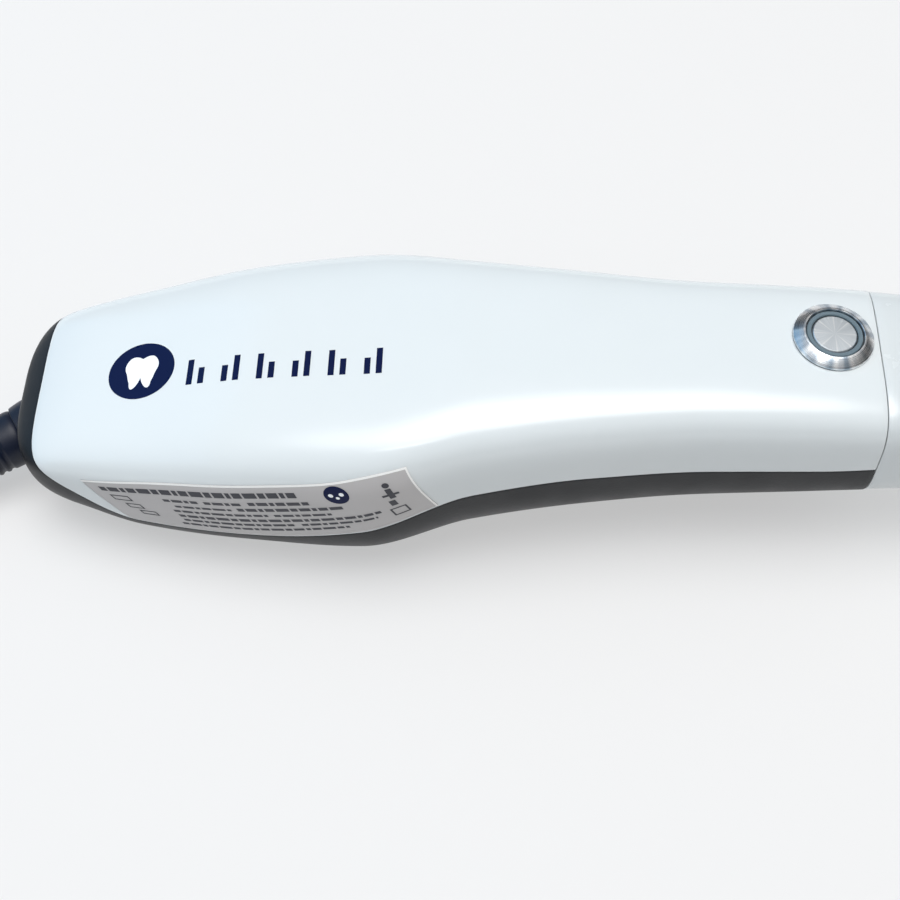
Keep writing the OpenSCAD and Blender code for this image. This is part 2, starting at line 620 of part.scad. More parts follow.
module cord_run() color([0.12, 0.13, 0.16]) tube(run_points, cord_d, 10);
module cord_end() color([0.12, 0.13, 0.16]) tube(end_points, cord_d, 10);
function hank_side(x) = hank_waist + (hank_half_w - hank_waist) * (1 - cos(180 * x / hank_half_run)) / 2;
module cord_hank() color([0.12, 0.13, 0.16]) translate([hank_x, 0, 0]) union() {
    for (side = [-1, 1]) translate([side * hank_half_run, 0, 0]) cylinder(h = hank_h, r = hank_half_w,
        $fn = 64);
    linear_extrude(hank_h) polygon(concat(
        [for (x = [-hank_half_run:4:hank_half_run]) [x, hank_side(x) - 0.02]],
        [for (x = [hank_half_run:-4:-hank_half_run]) [x, 0.02 - hank_side(x)]]
    ));
}
module cord_tie() color([0.15, 0.15, 0.16]) translate([hank_x, 0, 0]) difference() {
    block([-tie_w / 2, -hank_waist - tie_t - 0.6, 0], [tie_w / 2, hank_waist + tie_t + 0.6, hank_h + tie_t]);
    block([-tie_w, -hank_waist - 0.6, tie_t], [tie_w, hank_waist + 0.6, hank_h]);
}
module usb_plug_body() color([0.12, 0.13, 0.16]) {
    hull() for (x = [plug_x - 36, plug_x - 3], y = [-5.2, 5.2], z = [-1.2, 1.2])
        translate([x, y, plug_z + z]) sphere(r = 2.9, $fn = 24);
    along_x([plug_x - 2, 0, plug_z], 8, 6.8);
}
module usb_plug_shell() color("silver") difference() {
    block([plug_x - 56, -6, plug_z - 2.25], [plug_x - 38.9, 6, plug_z + 2.25]);
    block([plug_x - 57, -5.7, plug_z - 0.3], [plug_x - 40, 5.7, plug_z + 1.95]);
}

upper_cover();
lower_cover();
rating_label();
cover_screws();
button_housing();
button_led_ring();
button_plunger();
button_spring();
button_base();
button_seal();
button_washer();
button_nut();
button_wires();
nose_frame();
front_window();
window_gasket();
tip_detents();
optical_bench();
camera_lens_barrel();
camera_lens();
camera_board();
image_sensor();
camera_flex();
projector_housing();
projector_lens();
led_board();
projector_led();
heat_sink();
main_board();
board_chips();
board_screws();
bench_screws();
cable_header();
flex_header();
inner_cable();
cable_clamp();
clamp_screws();
cable_boot();
tip_shell();
tip_mirror();
mirror_cradle();
cord_run();
cord_hank();
cord_tie();
cord_end();
usb_plug_body();
usb_plug_shell();
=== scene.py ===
"""Looks of the intraoral camera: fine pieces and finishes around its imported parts.

+X runs from the cable end to the tip, +Z is up, and the belly rests on z = 0. Sizes are in
millimetres until a point is placed, and every mesh is in metres.
"""

import logging
import math
from bisect import bisect_right
from dataclasses import dataclass
from enum import Enum
from functools import cached_property
from typing import Any, Callable, Sequence

import bmesh
import bpy
from mathutils import Matrix, Vector


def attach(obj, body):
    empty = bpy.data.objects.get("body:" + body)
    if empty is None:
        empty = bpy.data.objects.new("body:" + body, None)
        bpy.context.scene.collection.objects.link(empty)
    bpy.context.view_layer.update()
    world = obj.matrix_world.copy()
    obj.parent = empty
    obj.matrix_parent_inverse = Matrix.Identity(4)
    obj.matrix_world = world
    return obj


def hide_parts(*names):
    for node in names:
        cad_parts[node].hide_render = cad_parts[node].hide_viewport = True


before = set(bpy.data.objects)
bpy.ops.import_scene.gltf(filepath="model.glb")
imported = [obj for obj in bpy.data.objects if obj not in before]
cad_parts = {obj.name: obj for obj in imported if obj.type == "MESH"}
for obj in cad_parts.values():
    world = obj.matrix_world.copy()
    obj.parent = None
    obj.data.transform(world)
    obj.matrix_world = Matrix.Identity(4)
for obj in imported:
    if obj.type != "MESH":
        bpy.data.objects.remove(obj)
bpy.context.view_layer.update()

LOG = logging.getLogger("intraoral_camera")
MM = 0.001
HANDPIECE = "handpiece"
BUTTON = "button"
SCAN_TIP = "scan_tip"
Place = Callable[[float, float], Vector]


# ---- Small tools ----


def linear(colour: str) -> tuple[float, float, float, float]:
    """Turns an sRGB hex colour into the linear one that a shader takes.

    Args:
        colour: The colour as "#rrggbb".

    Returns:
        Red, green, blue and an alpha of 1.
    """
    shares = [int(colour[i : i + 2], 16) / 255 for i in (1, 3, 5)]
    red, green, blue = (
        c / 12.92 if c <= 0.04045 else ((c + 0.055) / 1.055) ** 2.4 for c in shares
    )
    return red, green, blue, 1.0


def add_node(
    material: bpy.types.Material | bpy.types.World, kind: str, links: dict | None = None, **settings: Any
) -> bpy.types.Node:
    """Adds one shader node with its settings and links.

    Args:
        material: The material or world whose tree takes the node.
        kind: The node's type, such as "ShaderNodeBump".
        links: Input socket names or numbers, each with a value or the output socket to link.
        **settings: Properties of the node, such as operation="MULTIPLY".

    Returns:
        The new node.
    """
    made = material.node_tree.nodes.new(kind)
    for name, value in settings.items():
        setattr(made, name, value)
    for key, value in (links or {}).items():
        if isinstance(value, bpy.types.NodeSocket):
            material.node_tree.links.new(value, made.inputs[key])
        else:
            made.inputs[key].default_value = value
    return made


def new_object(name: str, made: bmesh.types.BMesh, smooth: float = 35.0) -> bpy.types.Object:
    """Makes an object of a finished bmesh, at the origin.

    Args:
        name: The piece's name.
        made: The mesh, in metres and in place; it is freed.
        smooth: Edges sharper than this many degrees stay sharp.

    Returns:
        The linked object.
    """
    mesh = bpy.data.meshes.new(name)
    for face in made.faces:
        face.smooth = True
    for edge in made.edges:
        edge.smooth = not edge.is_manifold or edge.calc_face_angle(0) < math.radians(smooth)
    made.to_mesh(mesh)
    made.free()
    piece = bpy.data.objects.new(name, mesh)
    bpy.context.scene.collection.objects.link(piece)
    return piece


def mapped_grid(
    made: bmesh.types.BMesh, rows: int, columns: int, place: Place, uv_mm: tuple | None = None
) -> None:
    """Adds a grid whose points are laid on a surface.

    Args:
        made: The bmesh that takes the grid.
        rows: Cells along the first direction.
        columns: Cells along the second direction.
        place: Gives the point, in millimetres, at two shares from 0 to 1.
        uv_mm: Real size of the grid, where a pattern follows the surface.
    """
    grid = bmesh.ops.create_grid(made, x_segments=rows, y_segments=columns, size=0.5)
    shares = {v: (v.co.x + 0.5, v.co.y + 0.5) for v in grid["verts"]}
    if uv_mm:
        layer = made.loops.layers.uv.verify()
        for vertex, (u, v) in shares.items():
            for loop in vertex.link_loops:
                loop[layer].uv = (u * uv_mm[0], v * uv_mm[1])
    for vertex, (u, v) in shares.items():
        vertex.co = place(u, v) * MM


def clean(made: bmesh.types.BMesh, outward_from: Callable[[Vector], Vector]) -> None:
    """Merges doubles and turns an open sheet's faces outwards.

    Args:
        made: The sheet.
        outward_from: Gives a point inside the piece that a face looks away from.
    """
    bmesh.ops.remove_doubles(made, verts=made.verts, dist=2e-6)
    bmesh.ops.dissolve_degenerate(made, dist=1e-7, edges=made.edges)
    bmesh.ops.recalc_face_normals(made, faces=made.faces)
    made.normal_update()
    score = 0.0
    for face in made.faces:
        centre = face.calc_center_median()
        score += face.normal.dot(centre - outward_from(centre)) * face.calc_area()
    if score < 0:
        bmesh.ops.reverse_faces(made, faces=made.faces)


def lathe(
    made: bmesh.types.BMesh,
    profile: Sequence[tuple],
    place: Matrix,
    steps: int = 96,
    closed: bool = False,
) -> None:
    """Spins a profile into a turned solid and puts it in place.

    Args:
        made: The bmesh that takes the solid.
        profile: Points (radius, height) in millimetres.
        place: Where the turned piece's own axis and foot go, in metres.
        steps: Facets round the axis.
        closed: Whether the profile's last point joins its first.
    """
    points = [made.verts.new((r * MM, 0, z * MM)) for r, z in profile]
    pairs = list(zip(points, points[1:])) + ([(points[-1], points[0])] if closed else [])
    edges = [made.edges.new(pair) for pair in pairs]
    before = set(made.faces)
    bmesh.ops.spin(
        made,
        geom=points + edges,
        cent=(0, 0, 0),
        axis=(0, 0, 1),
        angle=math.tau,
        steps=steps,
        use_merge=True,
    )
    faces = [f for f in made.faces if f not in before]
    turned = list({v for f in faces for v in f.verts})
    bmesh.ops.remove_doubles(made, verts=turned, dist=1e-6)
    faces = [f for f in made.faces if f not in before]
    bmesh.ops.recalc_face_normals(made, faces=faces)
    turned = list({v for f in faces for v in f.verts})
    bmesh.ops.transform(made, matrix=place, verts=turned)


def rounded_box(
    made: bmesh.types.BMesh,
    low: Sequence[float],
    high: Sequence[float],
    radius: float,
    segments: int = 3,
) -> None:
    """Adds a box with rounded edges.

    Args:
        made: The bmesh that takes the box.
        low: Lowest corner, in millimetres.
        high: Highest corner, in millimetres.
        radius: Radius of the edges, in millimetres.
        segments: Facets across a rounded edge.
    """
    size = Vector(high) - Vector(low)
    middle = (Vector(high) + Vector(low)) / 2
    place = Matrix.Translation(middle * MM) @ Matrix.Diagonal((*(size * MM), 1))
    cube = bmesh.ops.create_cube(made, size=1, matrix=place)
    edges = list({e for v in cube["verts"] for e in v.link_edges})
    bmesh.ops.bevel(
        made,
        geom=edges,
        offset=radius * MM,
        offset_type="OFFSET",
        segments=segments,
        profile=0.5,
        affect="EDGES",
        material=-1,
    )


def with_modifiers(piece: bpy.types.Object) -> bpy.types.Object:
    """Applies a piece's modifiers to its mesh, and hands the piece back."""
    bpy.context.view_layer.update()
    graph = bpy.context.evaluated_depsgraph_get()
    mesh = bpy.data.meshes.new_from_object(piece.evaluated_get(graph), depsgraph=graph)
    piece.modifiers.clear()
    piece.data = mesh
    return piece


def give_wall(piece: bpy.types.Object, wall: float) -> bpy.types.Object:
    """Gives an open sheet a wall on its inner side, in millimetres."""
    made = piece.modifiers.new("wall", "SOLIDIFY")
    made.thickness = wall * MM
    made.offset = -1
    made.use_even_offset = True
    made.thickness_clamp = 0.9
    return with_modifiers(piece)


def ease_edges(piece: bpy.types.Object, width: float, angle: float = 50.0) -> bpy.types.Object:
    """Rounds a piece's sharp edges by a width in millimetres."""
    made = piece.modifiers.new("eased_edges", "BEVEL")
    made.width = width * MM
    made.segments = 2
    made.limit_method = "ANGLE"
    made.angle_limit = math.radians(angle)
    made.use_clamp_overlap = True
    return with_modifiers(piece)


def cut_away(piece: bpy.types.Object, cutter: bpy.types.Object) -> bpy.types.Object:
    """Takes the cutter's room out of a piece, and removes the cutter."""
    made = piece.modifiers.new("cut", "BOOLEAN")
    made.operation = "DIFFERENCE"
    made.solver = "EXACT"
    made.object = cutter
    with_modifiers(piece)
    bpy.data.objects.remove(cutter)
    return piece


def finish_piece(
    piece: bpy.types.Object, finish: "Finish", slot: str, body: str, *stands_for: str
) -> bpy.types.Object:
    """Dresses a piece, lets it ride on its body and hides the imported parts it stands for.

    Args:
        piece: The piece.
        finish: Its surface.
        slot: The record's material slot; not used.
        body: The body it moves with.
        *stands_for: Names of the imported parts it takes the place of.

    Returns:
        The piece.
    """
    piece.data.materials.clear()
    piece.data.materials.append(finish.material())
    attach(piece, body)
    if stands_for:
        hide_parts(*stands_for)
    LOG.info("%s: %s, on %s", piece.name, finish.name, body)
    return piece


# ---- Finishes ----


@dataclass(frozen=True)
class Finish:
    """A surface: what it is made of, and how it was made.

    The relief is an even grain, as a mould leaves it. A grain too fine to show is drawn
    as coarse as it needs to be.
    """

    name: str
    colour: str
    roughness: float
    ior: float = 1.5
    metallic: float = 0.0
    coat: float = 0.0
    sheen: float = 0.0
    grain_mm: float = 0.4
    depth_mm: float = 0.01
    uneven: float = 0.03
    smudge: float = 0.04

    def material(self) -> bpy.types.Material:
        """Gives the finish's material, which is made once."""
        found = bpy.data.materials.get(self.name)
        if found:
            return found
        made = bpy.data.materials.new(self.name)
        made.use_nodes = True
        shader = made.node_tree.nodes["Principled BSDF"]
        shader.inputs["Base Color"].default_value = linear(self.colour)
        shader.inputs["Metallic"].default_value = self.metallic
        if not self.metallic:
            shader.inputs["IOR"].default_value = self.ior
        shader.inputs["Coat Weight"].default_value = self.coat
        shader.inputs["Coat Roughness"].default_value = 0.06
        shader.inputs["Sheen Weight"].default_value = self.sheen
        shader.inputs["Sheen Roughness"].default_value = 0.4
        self.dress(made, shader)
        return made

    def place(self, made: bpy.types.Material) -> bpy.types.NodeSocket:
        """Gives the point that patterns are laid out on, in metres."""
        return add_node(made, "ShaderNodeTexCoord").outputs["Object"]

    def noise(
        self, made: bpy.types.Material, at: bpy.types.NodeSocket, size_mm: float, detail: float = 2.0
    ) -> bpy.types.NodeSocket:
        """Gives a soft noise whose lumps are about size_mm across, from 0 to 1."""
        scale = 1 / (size_mm * MM)
        links = {"Vector": at, "Scale": scale, "Detail": detail, "Roughness": 0.55}
        return add_node(made, "ShaderNodeTexNoise", links).outputs["Fac"]

    def spread(
        self, made: bpy.types.Material, share: bpy.types.NodeSocket, low: float, high: float
    ) -> bpy.types.NodeSocket:
        """Maps a noise's middle range to low..high."""
        links = {"Value": share, "From Min": 0.3, "From Max": 0.7, "To Min": low, "To Max": high}
        return add_node(made, "ShaderNodeMapRange", links).outputs["Result"]

    def tint(
        self, made: bpy.types.Material, share: bpy.types.NodeSocket, low: str, high: str
    ) -> bpy.types.NodeSocket:
        """Mixes two colours by a share from 0 to 1."""
        links = {0: share, 6: linear(low), 7: linear(high)}
        mixed = add_node(made, "ShaderNodeMix", links, data_type="RGBA", clamp_factor=True)
        return mixed.outputs[2]

    def shade(self, amount: float) -> str:
        """Gives the finish's colour made darker by a share."""
        parts = (int(self.colour[i : i + 2], 16) for i in (1, 3, 5))
        return "#" + "".join(f"{max(0, min(255, round(p * (1 - amount)))):02x}" for p in parts)

    def bump(
        self, made: bpy.types.Material, shader: bpy.types.Node, height: bpy.types.NodeSocket, depth_mm: float
    ) -> None:
        """Lays a relief of a real depth on the surface."""
        links = {"Height": height, "Distance": depth_mm * MM, "Strength": 1.0}
        relief = add_node(made, "ShaderNodeBump", links)
        made.node_tree.links.new(relief.outputs["Normal"], shader.inputs["Normal"])

    def dress(self, made: bpy.types.Material, shader: bpy.types.Node) -> None:
        """Adds the grain, a slight unevenness of colour and faint smudges in the gloss."""
        at = self.place(made)
        join = made.node_tree.links.new
        colour = self.tint(made, self.noise(made, at, 9.0), self.shade(self.uneven), self.colour)
        join(colour, shader.inputs["Base Color"])
        gloss = self.spread(
            made,
            self.noise(made, at, 6.0, 4.0),
            max(0.02, self.roughness - self.smudge),
            self.roughness + self.smudge,
        )
        join(gloss, shader.inputs["Roughness"])
        self.bump(made, shader, self.noise(made, at, self.grain_mm), self.depth_mm)


@dataclass(frozen=True)
class TurnedMetal(Finish):
    """Metal with the fine rings a lathe tool leaves round an axis."""

    centre: tuple = (24.6, 1.6, 36.4)
    tilt: float = 3.0
    ring_mm: float = 0.12

    def axis_place(self, made: bpy.types.Material) -> bpy.types.NodeSocket:
        """Gives the point in the turned piece's own axes, in metres."""
        turn = Matrix.Rotation(math.radians(-self.tilt), 3, "Y")
        shift = turn @ (Vector(self.centre) * -MM)
        links = {"Vector": self.place(made), "Location": shift, "Rotation": (0, math.radians(-self.tilt), 0)}
        return add_node(made, "ShaderNodeMapping", links).outputs["Vector"]

    def polar(self, made: bpy.types.Material) -> tuple:
        """Gives the distance from the axis, in metres, and the angle round it, in radians."""
        split = add_node(made, "ShaderNodeSeparateXYZ", {"Vector": self.axis_place(made)}).outputs
        x, y = split["X"], split["Y"]
        sides = [
            add_node(made, "ShaderNodeMath", {0: side, 1: 2.0}, operation="POWER").outputs[0]
            for side in (x, y)
        ]
        total = add_node(made, "ShaderNodeMath", {0: sides[0], 1: sides[1]}, operation="ADD")
        radius = add_node(made, "ShaderNodeMath", {0: total.outputs[0]}, operation="SQRT")
        angle = add_node(made, "ShaderNodeMath", {0: y, 1: x}, operation="ARCTAN2")
        return radius.outputs[0], angle.outputs[0]

    def wedges(self, made: bpy.types.Material, scale: float, detail: float) -> bpy.types.NodeSocket:
        """Gives a noise that changes only with the direction from the axis."""
        at = self.axis_place(made)
        flat = add_node(made, "ShaderNodeVectorMath", {0: at, 1: (1, 1, 0)}, operation="MULTIPLY")
        unit = add_node(made, "ShaderNodeVectorMath", {0: flat.outputs[0]}, operation="NORMALIZE")
        links = {"Vector": unit.outputs[0], "Scale": scale, "Detail": detail}
        return add_node(made, "ShaderNodeTexNoise", links).outputs["Fac"]

    def dress(self, made: bpy.types.Material, shader: bpy.types.Node) -> None:
        """Adds rings in the relief and the gloss, and fan-shaped bright and dark patches painted into the
        colour: painted highlights and painted shade that stand in for turned metal's reflections.
        """
        radius, _ = self.polar(made)
        rings = add_node(
            made,
            "ShaderNodeTexNoise",
            {"W": radius, "Scale": 1 / (self.ring_mm * MM), "Detail": 3.0},
            noise_dimensions="1D",
        ).outputs["Fac"]
        join = made.node_tree.links.new
        gloss = self.spread(made, rings, self.roughness - 0.05, self.roughness + 0.1)
        join(gloss, shader.inputs["Roughness"])
        # Painted highlights and painted shade: fan-shaped bright and dark patches mixed into the colour
        painted_light_and_shade_fans = self.spread(made, self.wedges(made, 3.1, 1.5), -0.3, 1.3)
        join(self.tint(made, painted_light_and_shade_fans, "#9eabb8", "#ffffff"), shader.inputs["Base Color"])
        self.bump(made, shader, rings, self.depth_mm)


@dataclass(frozen=True)
class SunburstMetal(TurnedMetal):
    """Metal brushed from its middle outwards, with a few bright rays painted into its colour as painted
    highlights.
    """

    rays: int = 8

    def dress(self, made: bpy.types.Material, shader: bpy.types.Node) -> None:
        """Adds fine scratches along the radius and a few broad bright rays, which are painted highlights."""
        _, angle = self.polar(made)
        join = made.node_tree.links.new
        fine = self.wedges(made, 14.0, 4.0)
        turn = add_node(made, "ShaderNodeMath", {0: angle, 1: float(self.rays)}, operation="MULTIPLY")
        wave = add_node(made, "ShaderNodeMath", {0: turn.outputs[0]}, operation="COSINE")
        # Painted highlights: a few broad bright rays, mixed with the fine scratches into the colour
        painted_ray_highlight = add_node(
            made,
            "ShaderNodeMapRange",
            {"Value": wave.outputs[0], "From Min": 0.86, "From Max": 1.0, "To Min": 0.0, "To Max": 1.0},
        ).outputs["Result"]
        mixed = add_node(made, "ShaderNodeMath", {0: fine, 1: 0.55}, operation="MULTIPLY")
        links = {0: painted_ray_highlight, 1: mixed.outputs[0], 2: mixed.outputs[0]}
        both = add_node(made, "ShaderNodeMath", links, operation="MULTIPLY_ADD")
        join(self.tint(made, both.outputs[0], self.shade(0.16), "#ffffff"), shader.inputs["Base Color"])
        join(self.spread(made, fine, self.roughness - 0.05, self.roughness + 0.12), shader.inputs["Roughness"])
        self.bump(made, shader, fine, self.depth_mm)


@dataclass(frozen=True)
class Clear(Finish):
    """Glass with a faint coating."""

    def dress(self, made: bpy.types.Material, shader: bpy.types.Node) -> None:
        """Lets light through, with a trace of haze."""
        shader.inputs["Transmission Weight"].default_value = 0.92
        haze = self.spread(made, self.noise(made, self.place(made), 4.0), 0.01, self.roughness + 0.03)
        made.node_tree.links.new(haze, shader.inputs["Roughness"])


@dataclass(frozen=True)
class Glowing(Finish):
    """A translucent light guide, a little brighter than its surroundings through a weak painted glow."""

    glow: float = 0.12
    glow_colour: str = "#a8c0cc"

    def dress(self, made: bpy.types.Material, shader: bpy.types.Node) -> None:
        """Adds a weak light of its own to a frosted surface."""
        super().dress(made, shader)
        shader.inputs["Emission Color"].default_value = linear(self.glow_colour)
        shader.inputs["Emission Strength"].default_value = self.glow


@dataclass(frozen=True)
class HookTape(Finish):
    """Hook-and-loop tape: a field of tiny loops about half a millimetre apart."""

    loop_mm: float = 0.55

    def dress(self, made: bpy.types.Material, shader: bpy.types.Node) -> None:
        """Adds the loops as small round lumps, and paints the gaps between them darker as painted shade."""
        at = self.place(made)
        cells = add_node(made, "ShaderNodeTexVoronoi", {"Vector": at, "Scale": 1 / (self.loop_mm * MM)})
        height = add_node(made, "ShaderNodeMath", {0: 1.0, 1: cells.outputs["Distance"]}, operation="SUBTRACT")
        join = made.node_tree.links.new
        # Painted shade: the colour darkens towards the gaps between the loops
        join(self.tint(made, height.outputs[0], self.shade(0.5), self.colour), shader.inputs["Base Color"])
        shader.inputs["Roughness"].default_value = self.roughness
        self.bump(made, shader, height.outputs[0], self.depth_mm)


@dataclass(frozen=True)
class TracedBoard(Finish):
    """Solder-masked laminate, with copper traces that show through as a faint relief."""

    trace_mm: float = 1.1

    def dress(self, made: bpy.types.Material, shader: bpy.types.Node) -> None:
        """Adds square-cornered traces from a blocky cell pattern."""
        links = {"Vector": self.place(made), "Scale": 1 / (self.trace_mm * 2.5 * MM)}
        cells = add_node(
            made, "ShaderNodeTexVoronoi", links, distance="CHEBYCHEV", feature="DISTANCE_TO_EDGE"
        ).outputs["Distance"]
        edge = add_node(
            made,
            "ShaderNodeMapRange",
            {"Value": cells, "From Min": 0.05, "From Max": 0.12, "To Min": 1.0, "To Max": 0.0},
        ).outputs["Result"]
        join = made.node_tree.links.new
        join(self.tint(made, edge, self.colour, self.shade(-0.5)), shader.inputs["Base Color"])
        shader.inputs["Roughness"].default_value = self.roughness
        self.bump(made, shader, edge, self.depth_mm)


class Surface(Enum):
    """Every finish of the object, named for what it is made of."""

    # Polished ABS moulding: a deep even gloss with a trace of flow marks
    WHITE_SHELL = Finish(
        "polished_white_abs", "#d7dddf", 0.2, 1.45, coat=0.2, grain_mm=3.0, depth_mm=0.004,
        uneven=0.01, smudge=0.02,
    )
    # Autoclavable polymer, a little greyer and less glossy than the handle
    TIP_SHELL = Finish(
        "autoclavable_white_psu", "#d2d8da", 0.24, 1.58, grain_mm=1.5, depth_mm=0.004,
        uneven=0.015,
    )
    # Spark-eroded mould grain: satin, near black, with a fine stipple
    DARK_SHELL = Finish(
        "satin_charcoal_abs", "#16181c", 0.42, 1.36, grain_mm=0.35, depth_mm=0.02, uneven=0.08,
    )
    # Metallised polyester film: satin, grey, nearly flat
    LABEL_FILM = Finish(
        "metallised_polyester", "#b9b6b6", 0.32, 1.5, metallic=0.0, grain_mm=0.5, depth_mm=0.003,
        uneven=0.03,
    )
    # Painted highlight: near-white strips along the label's top and right edges, where the film's edge catches
    # the light
    LABEL_EDGE_HIGHLIGHT = Finish("painted_label_edge_highlight", "#f4f4f2", 0.3, 1.5)
    LABEL_INK = Finish("thermal_transfer_ink", "#3a3b42", 0.5, 1.45, grain_mm=0.3, depth_mm=0.002)
    # Pad-printed ink under the gloss: even, a touch duller than the shell
    NAVY_INK = Finish(
        "pad_printed_navy_ink", "#000f3c", 0.3, 1.25, grain_mm=0.4, depth_mm=0.002, uneven=0.04,
    )
    WHITE_INK = Finish("pad_printed_white_ink", "#f3f7fa", 0.3, 1.5, depth_mm=0.002)
    # Stainless steel turned on a lathe: clean bright rings, with painted highlights and painted shade in
    # fan-shaped patches that stand in for its reflections
    BEZEL_STEEL = TurnedMetal(
        "turned_stainless_steel", "#c9ced0", 0.27, metallic=1.0, depth_mm=0.003,
    )
    # Stainless steel brushed outwards from the middle, with painted highlights in a few bright rays
    PLUNGER_STEEL = SunburstMetal(
        "sunburst_stainless_steel", "#e8f4fc", 0.34, metallic=1.0, depth_mm=0.003,
    )
    # Frosted polycarbonate light guide, unlit teal-grey, with a weak painted glow that stands in for light
    # scattered through it
    LIGHT_GUIDE = Glowing("frosted_light_guide", "#5c6d77", 0.35, 1.58, glow=0.05)
    # Painted shade: near-black rings laid down in the gaps round the light ring and the plunger
    GAP_SHADE = Finish("painted_gap_shade", "#15191c", 0.5, 1.5)
    # Thermoplastic rubber, navy-black with a soft sheen
    BOOT_RUBBER = Finish(
        "navy_black_tpe", "#10182b", 0.4, 1.36, sheen=0.05, grain_mm=0.5, depth_mm=0.012,
        uneven=0.1,
    )
    CORD_JACKET = Finish(
        "navy_black_cable_jacket", "#161b28", 0.45, 1.5, sheen=0.1, grain_mm=0.6, depth_mm=0.01,
        uneven=0.1,
    )
    SEAL_RUBBER = Finish("black_nitrile", "#1a1b1c", 0.6, 1.5, grain_mm=0.4, depth_mm=0.015)
    PLUG_GRIP = Finish("moulded_plug_grip", "#232936", 0.5, 1.5, grain_mm=0.4, depth_mm=0.015)
    PLUG_STEEL = Finish(
        "nickel_plated_steel", "#c8cacb", 0.26, metallic=1.0, grain_mm=0.8, depth_mm=0.003,
    )
    PLUG_TONGUE = Finish("plug_tongue_nylon", "#e8e9ea", 0.45, 1.5)
    CONTACT_GOLD = Finish("gold_plated_contact", "#d8b468", 0.25, metallic=1.0)
    TAPE = HookTape("black_hook_tape", "#17181a", 0.85, 1.5, depth_mm=0.2)
    # Zinc-plated fasteners and spring wire
    SCREW_STEEL = Finish(
        "zinc_plated_steel", "#b9bcbe", 0.32, metallic=1.0, grain_mm=0.6, depth_mm=0.004,
    )
    SPRING_STEEL = Finish(
        "drawn_spring_wire", "#b3b6b8", 0.28, metallic=1.0, grain_mm=0.3, depth_mm=0.003,
    )
    NUT_BRASS = Finish(
        "nickel_plated_brass", "#c9bb95", 0.3, metallic=1.0, grain_mm=0.6, depth_mm=0.004,
    )
    BLACK_NYLON = Finish("black_nylon", "#18191b", 0.5, 1.53, grain_mm=0.4, depth_mm=0.012)
    SNOUT = Finish("glass_filled_nylon", "#212326", 0.55, 1.53, grain_mm=0.3, depth_mm=0.02)
    GREY_NYLON = Finish("grey_nylon", "#505358", 0.5, 1.53, grain_mm=0.4, depth_mm=0.012)
    NATURAL_NYLON = Finish("natural_nylon", "#e2dcc9", 0.45, 1.53, grain_mm=0.5, depth_mm=0.01)
    WIRE_COVER = Finish("red_wire_insulation", "#9c2320", 0.45, 1.5, grain_mm=0.4, depth_mm=0.008)
    BENCH = Finish("milled_aluminium", "#a4a7aa", 0.34, metallic=1.0, grain_mm=0.5, depth_mm=0.006)
    SINK = Finish("extruded_aluminium", "#c2c5c8", 0.3, metallic=1.0, grain_mm=0.5, depth_mm=0.006)
    BARREL = Finish("black_anodised_aluminium", "#1b1c1e", 0.36, 1.6, grain_mm=0.3, depth_mm=0.005)
    LENS = Clear("coated_lens_glass", "#e4eefb", 0.01, 1.62)
    WINDOW = Clear("coated_flat_glass", "#eef6f6", 0.01, 1.52)
    MIRROR = Finish(
        "front_surface_mirror", "#e9eef0", 0.03, metallic=1.0, grain_mm=4.0, depth_mm=0.0005,
        smudge=0.01,
    )
    BOARD = TracedBoard("green_solder_mask", "#12583a", 0.35, 1.55, depth_mm=0.03)
    LED_BOARD = Finish("white_solder_mask", "#e9e8e2", 0.4, 1.55)
    CHIP = Finish("moulded_chip_epoxy", "#1c1d20", 0.5, 1.55, grain_mm=0.25, depth_mm=0.01)
    SENSOR = Finish("sensor_cover_glass", "#2c3346", 0.1, 1.5, coat=0.5)
    PHOSPHOR = Finish("led_phosphor", "#e6d35c", 0.3, 1.5)
    FLEX = Finish("amber_polyimide", "#b98032", 0.35, 1.65, grain_mm=0.5, depth_mm=0.004)


# ---- The handle's form ----


@dataclass(frozen=True)
class Station:
    """One section of the handle, in millimetres."""

    x: float
    half_w: float
    top: float
    bottom: float
    mid: float
    split: float
    roundness: float


@dataclass(frozen=True)
class Profile:
    """A smooth curve through the stations' values that never overshoots them."""

    xs: tuple
    values: tuple

    def secant(self, i: int) -> float:
        """Gives the slope between station i and the next."""
        return (self.values[i + 1] - self.values[i]) / (self.xs[i + 1] - self.xs[i])

    def tangent(self, i: int) -> float:
        """Gives the curve's slope at station i."""
        if i == 0:
            return self.secant(0)
        if i == len(self.xs) - 1:
            return self.secant(i - 1)
        a, b = self.secant(i - 1), self.secant(i)
        return 0.0 if a * b <= 0 else 2 * a * b / (a + b)

    def at(self, x: float) -> float:
        """Gives the curve's value at x."""
        i = min(max(bisect_right(self.xs, x) - 1, 0), len(self.xs) - 2)
        h = self.xs[i + 1] - self.xs[i]
        u = (x - self.xs[i]) / h
        v = 1 - u
        return (
            (1 + 2 * u) * v * v * self.values[i]
            + u * v * v * h * self.tangent(i)
            + u * u * (3 - 2 * u) * self.values[i + 1]
            - u * u * v * h * self.tangent(i + 1)
        )


def signed_power(value: float, power: float) -> float:
    """Raises a number's size to a power and keeps its sign."""
    return math.copysign(abs(value) ** power, value)


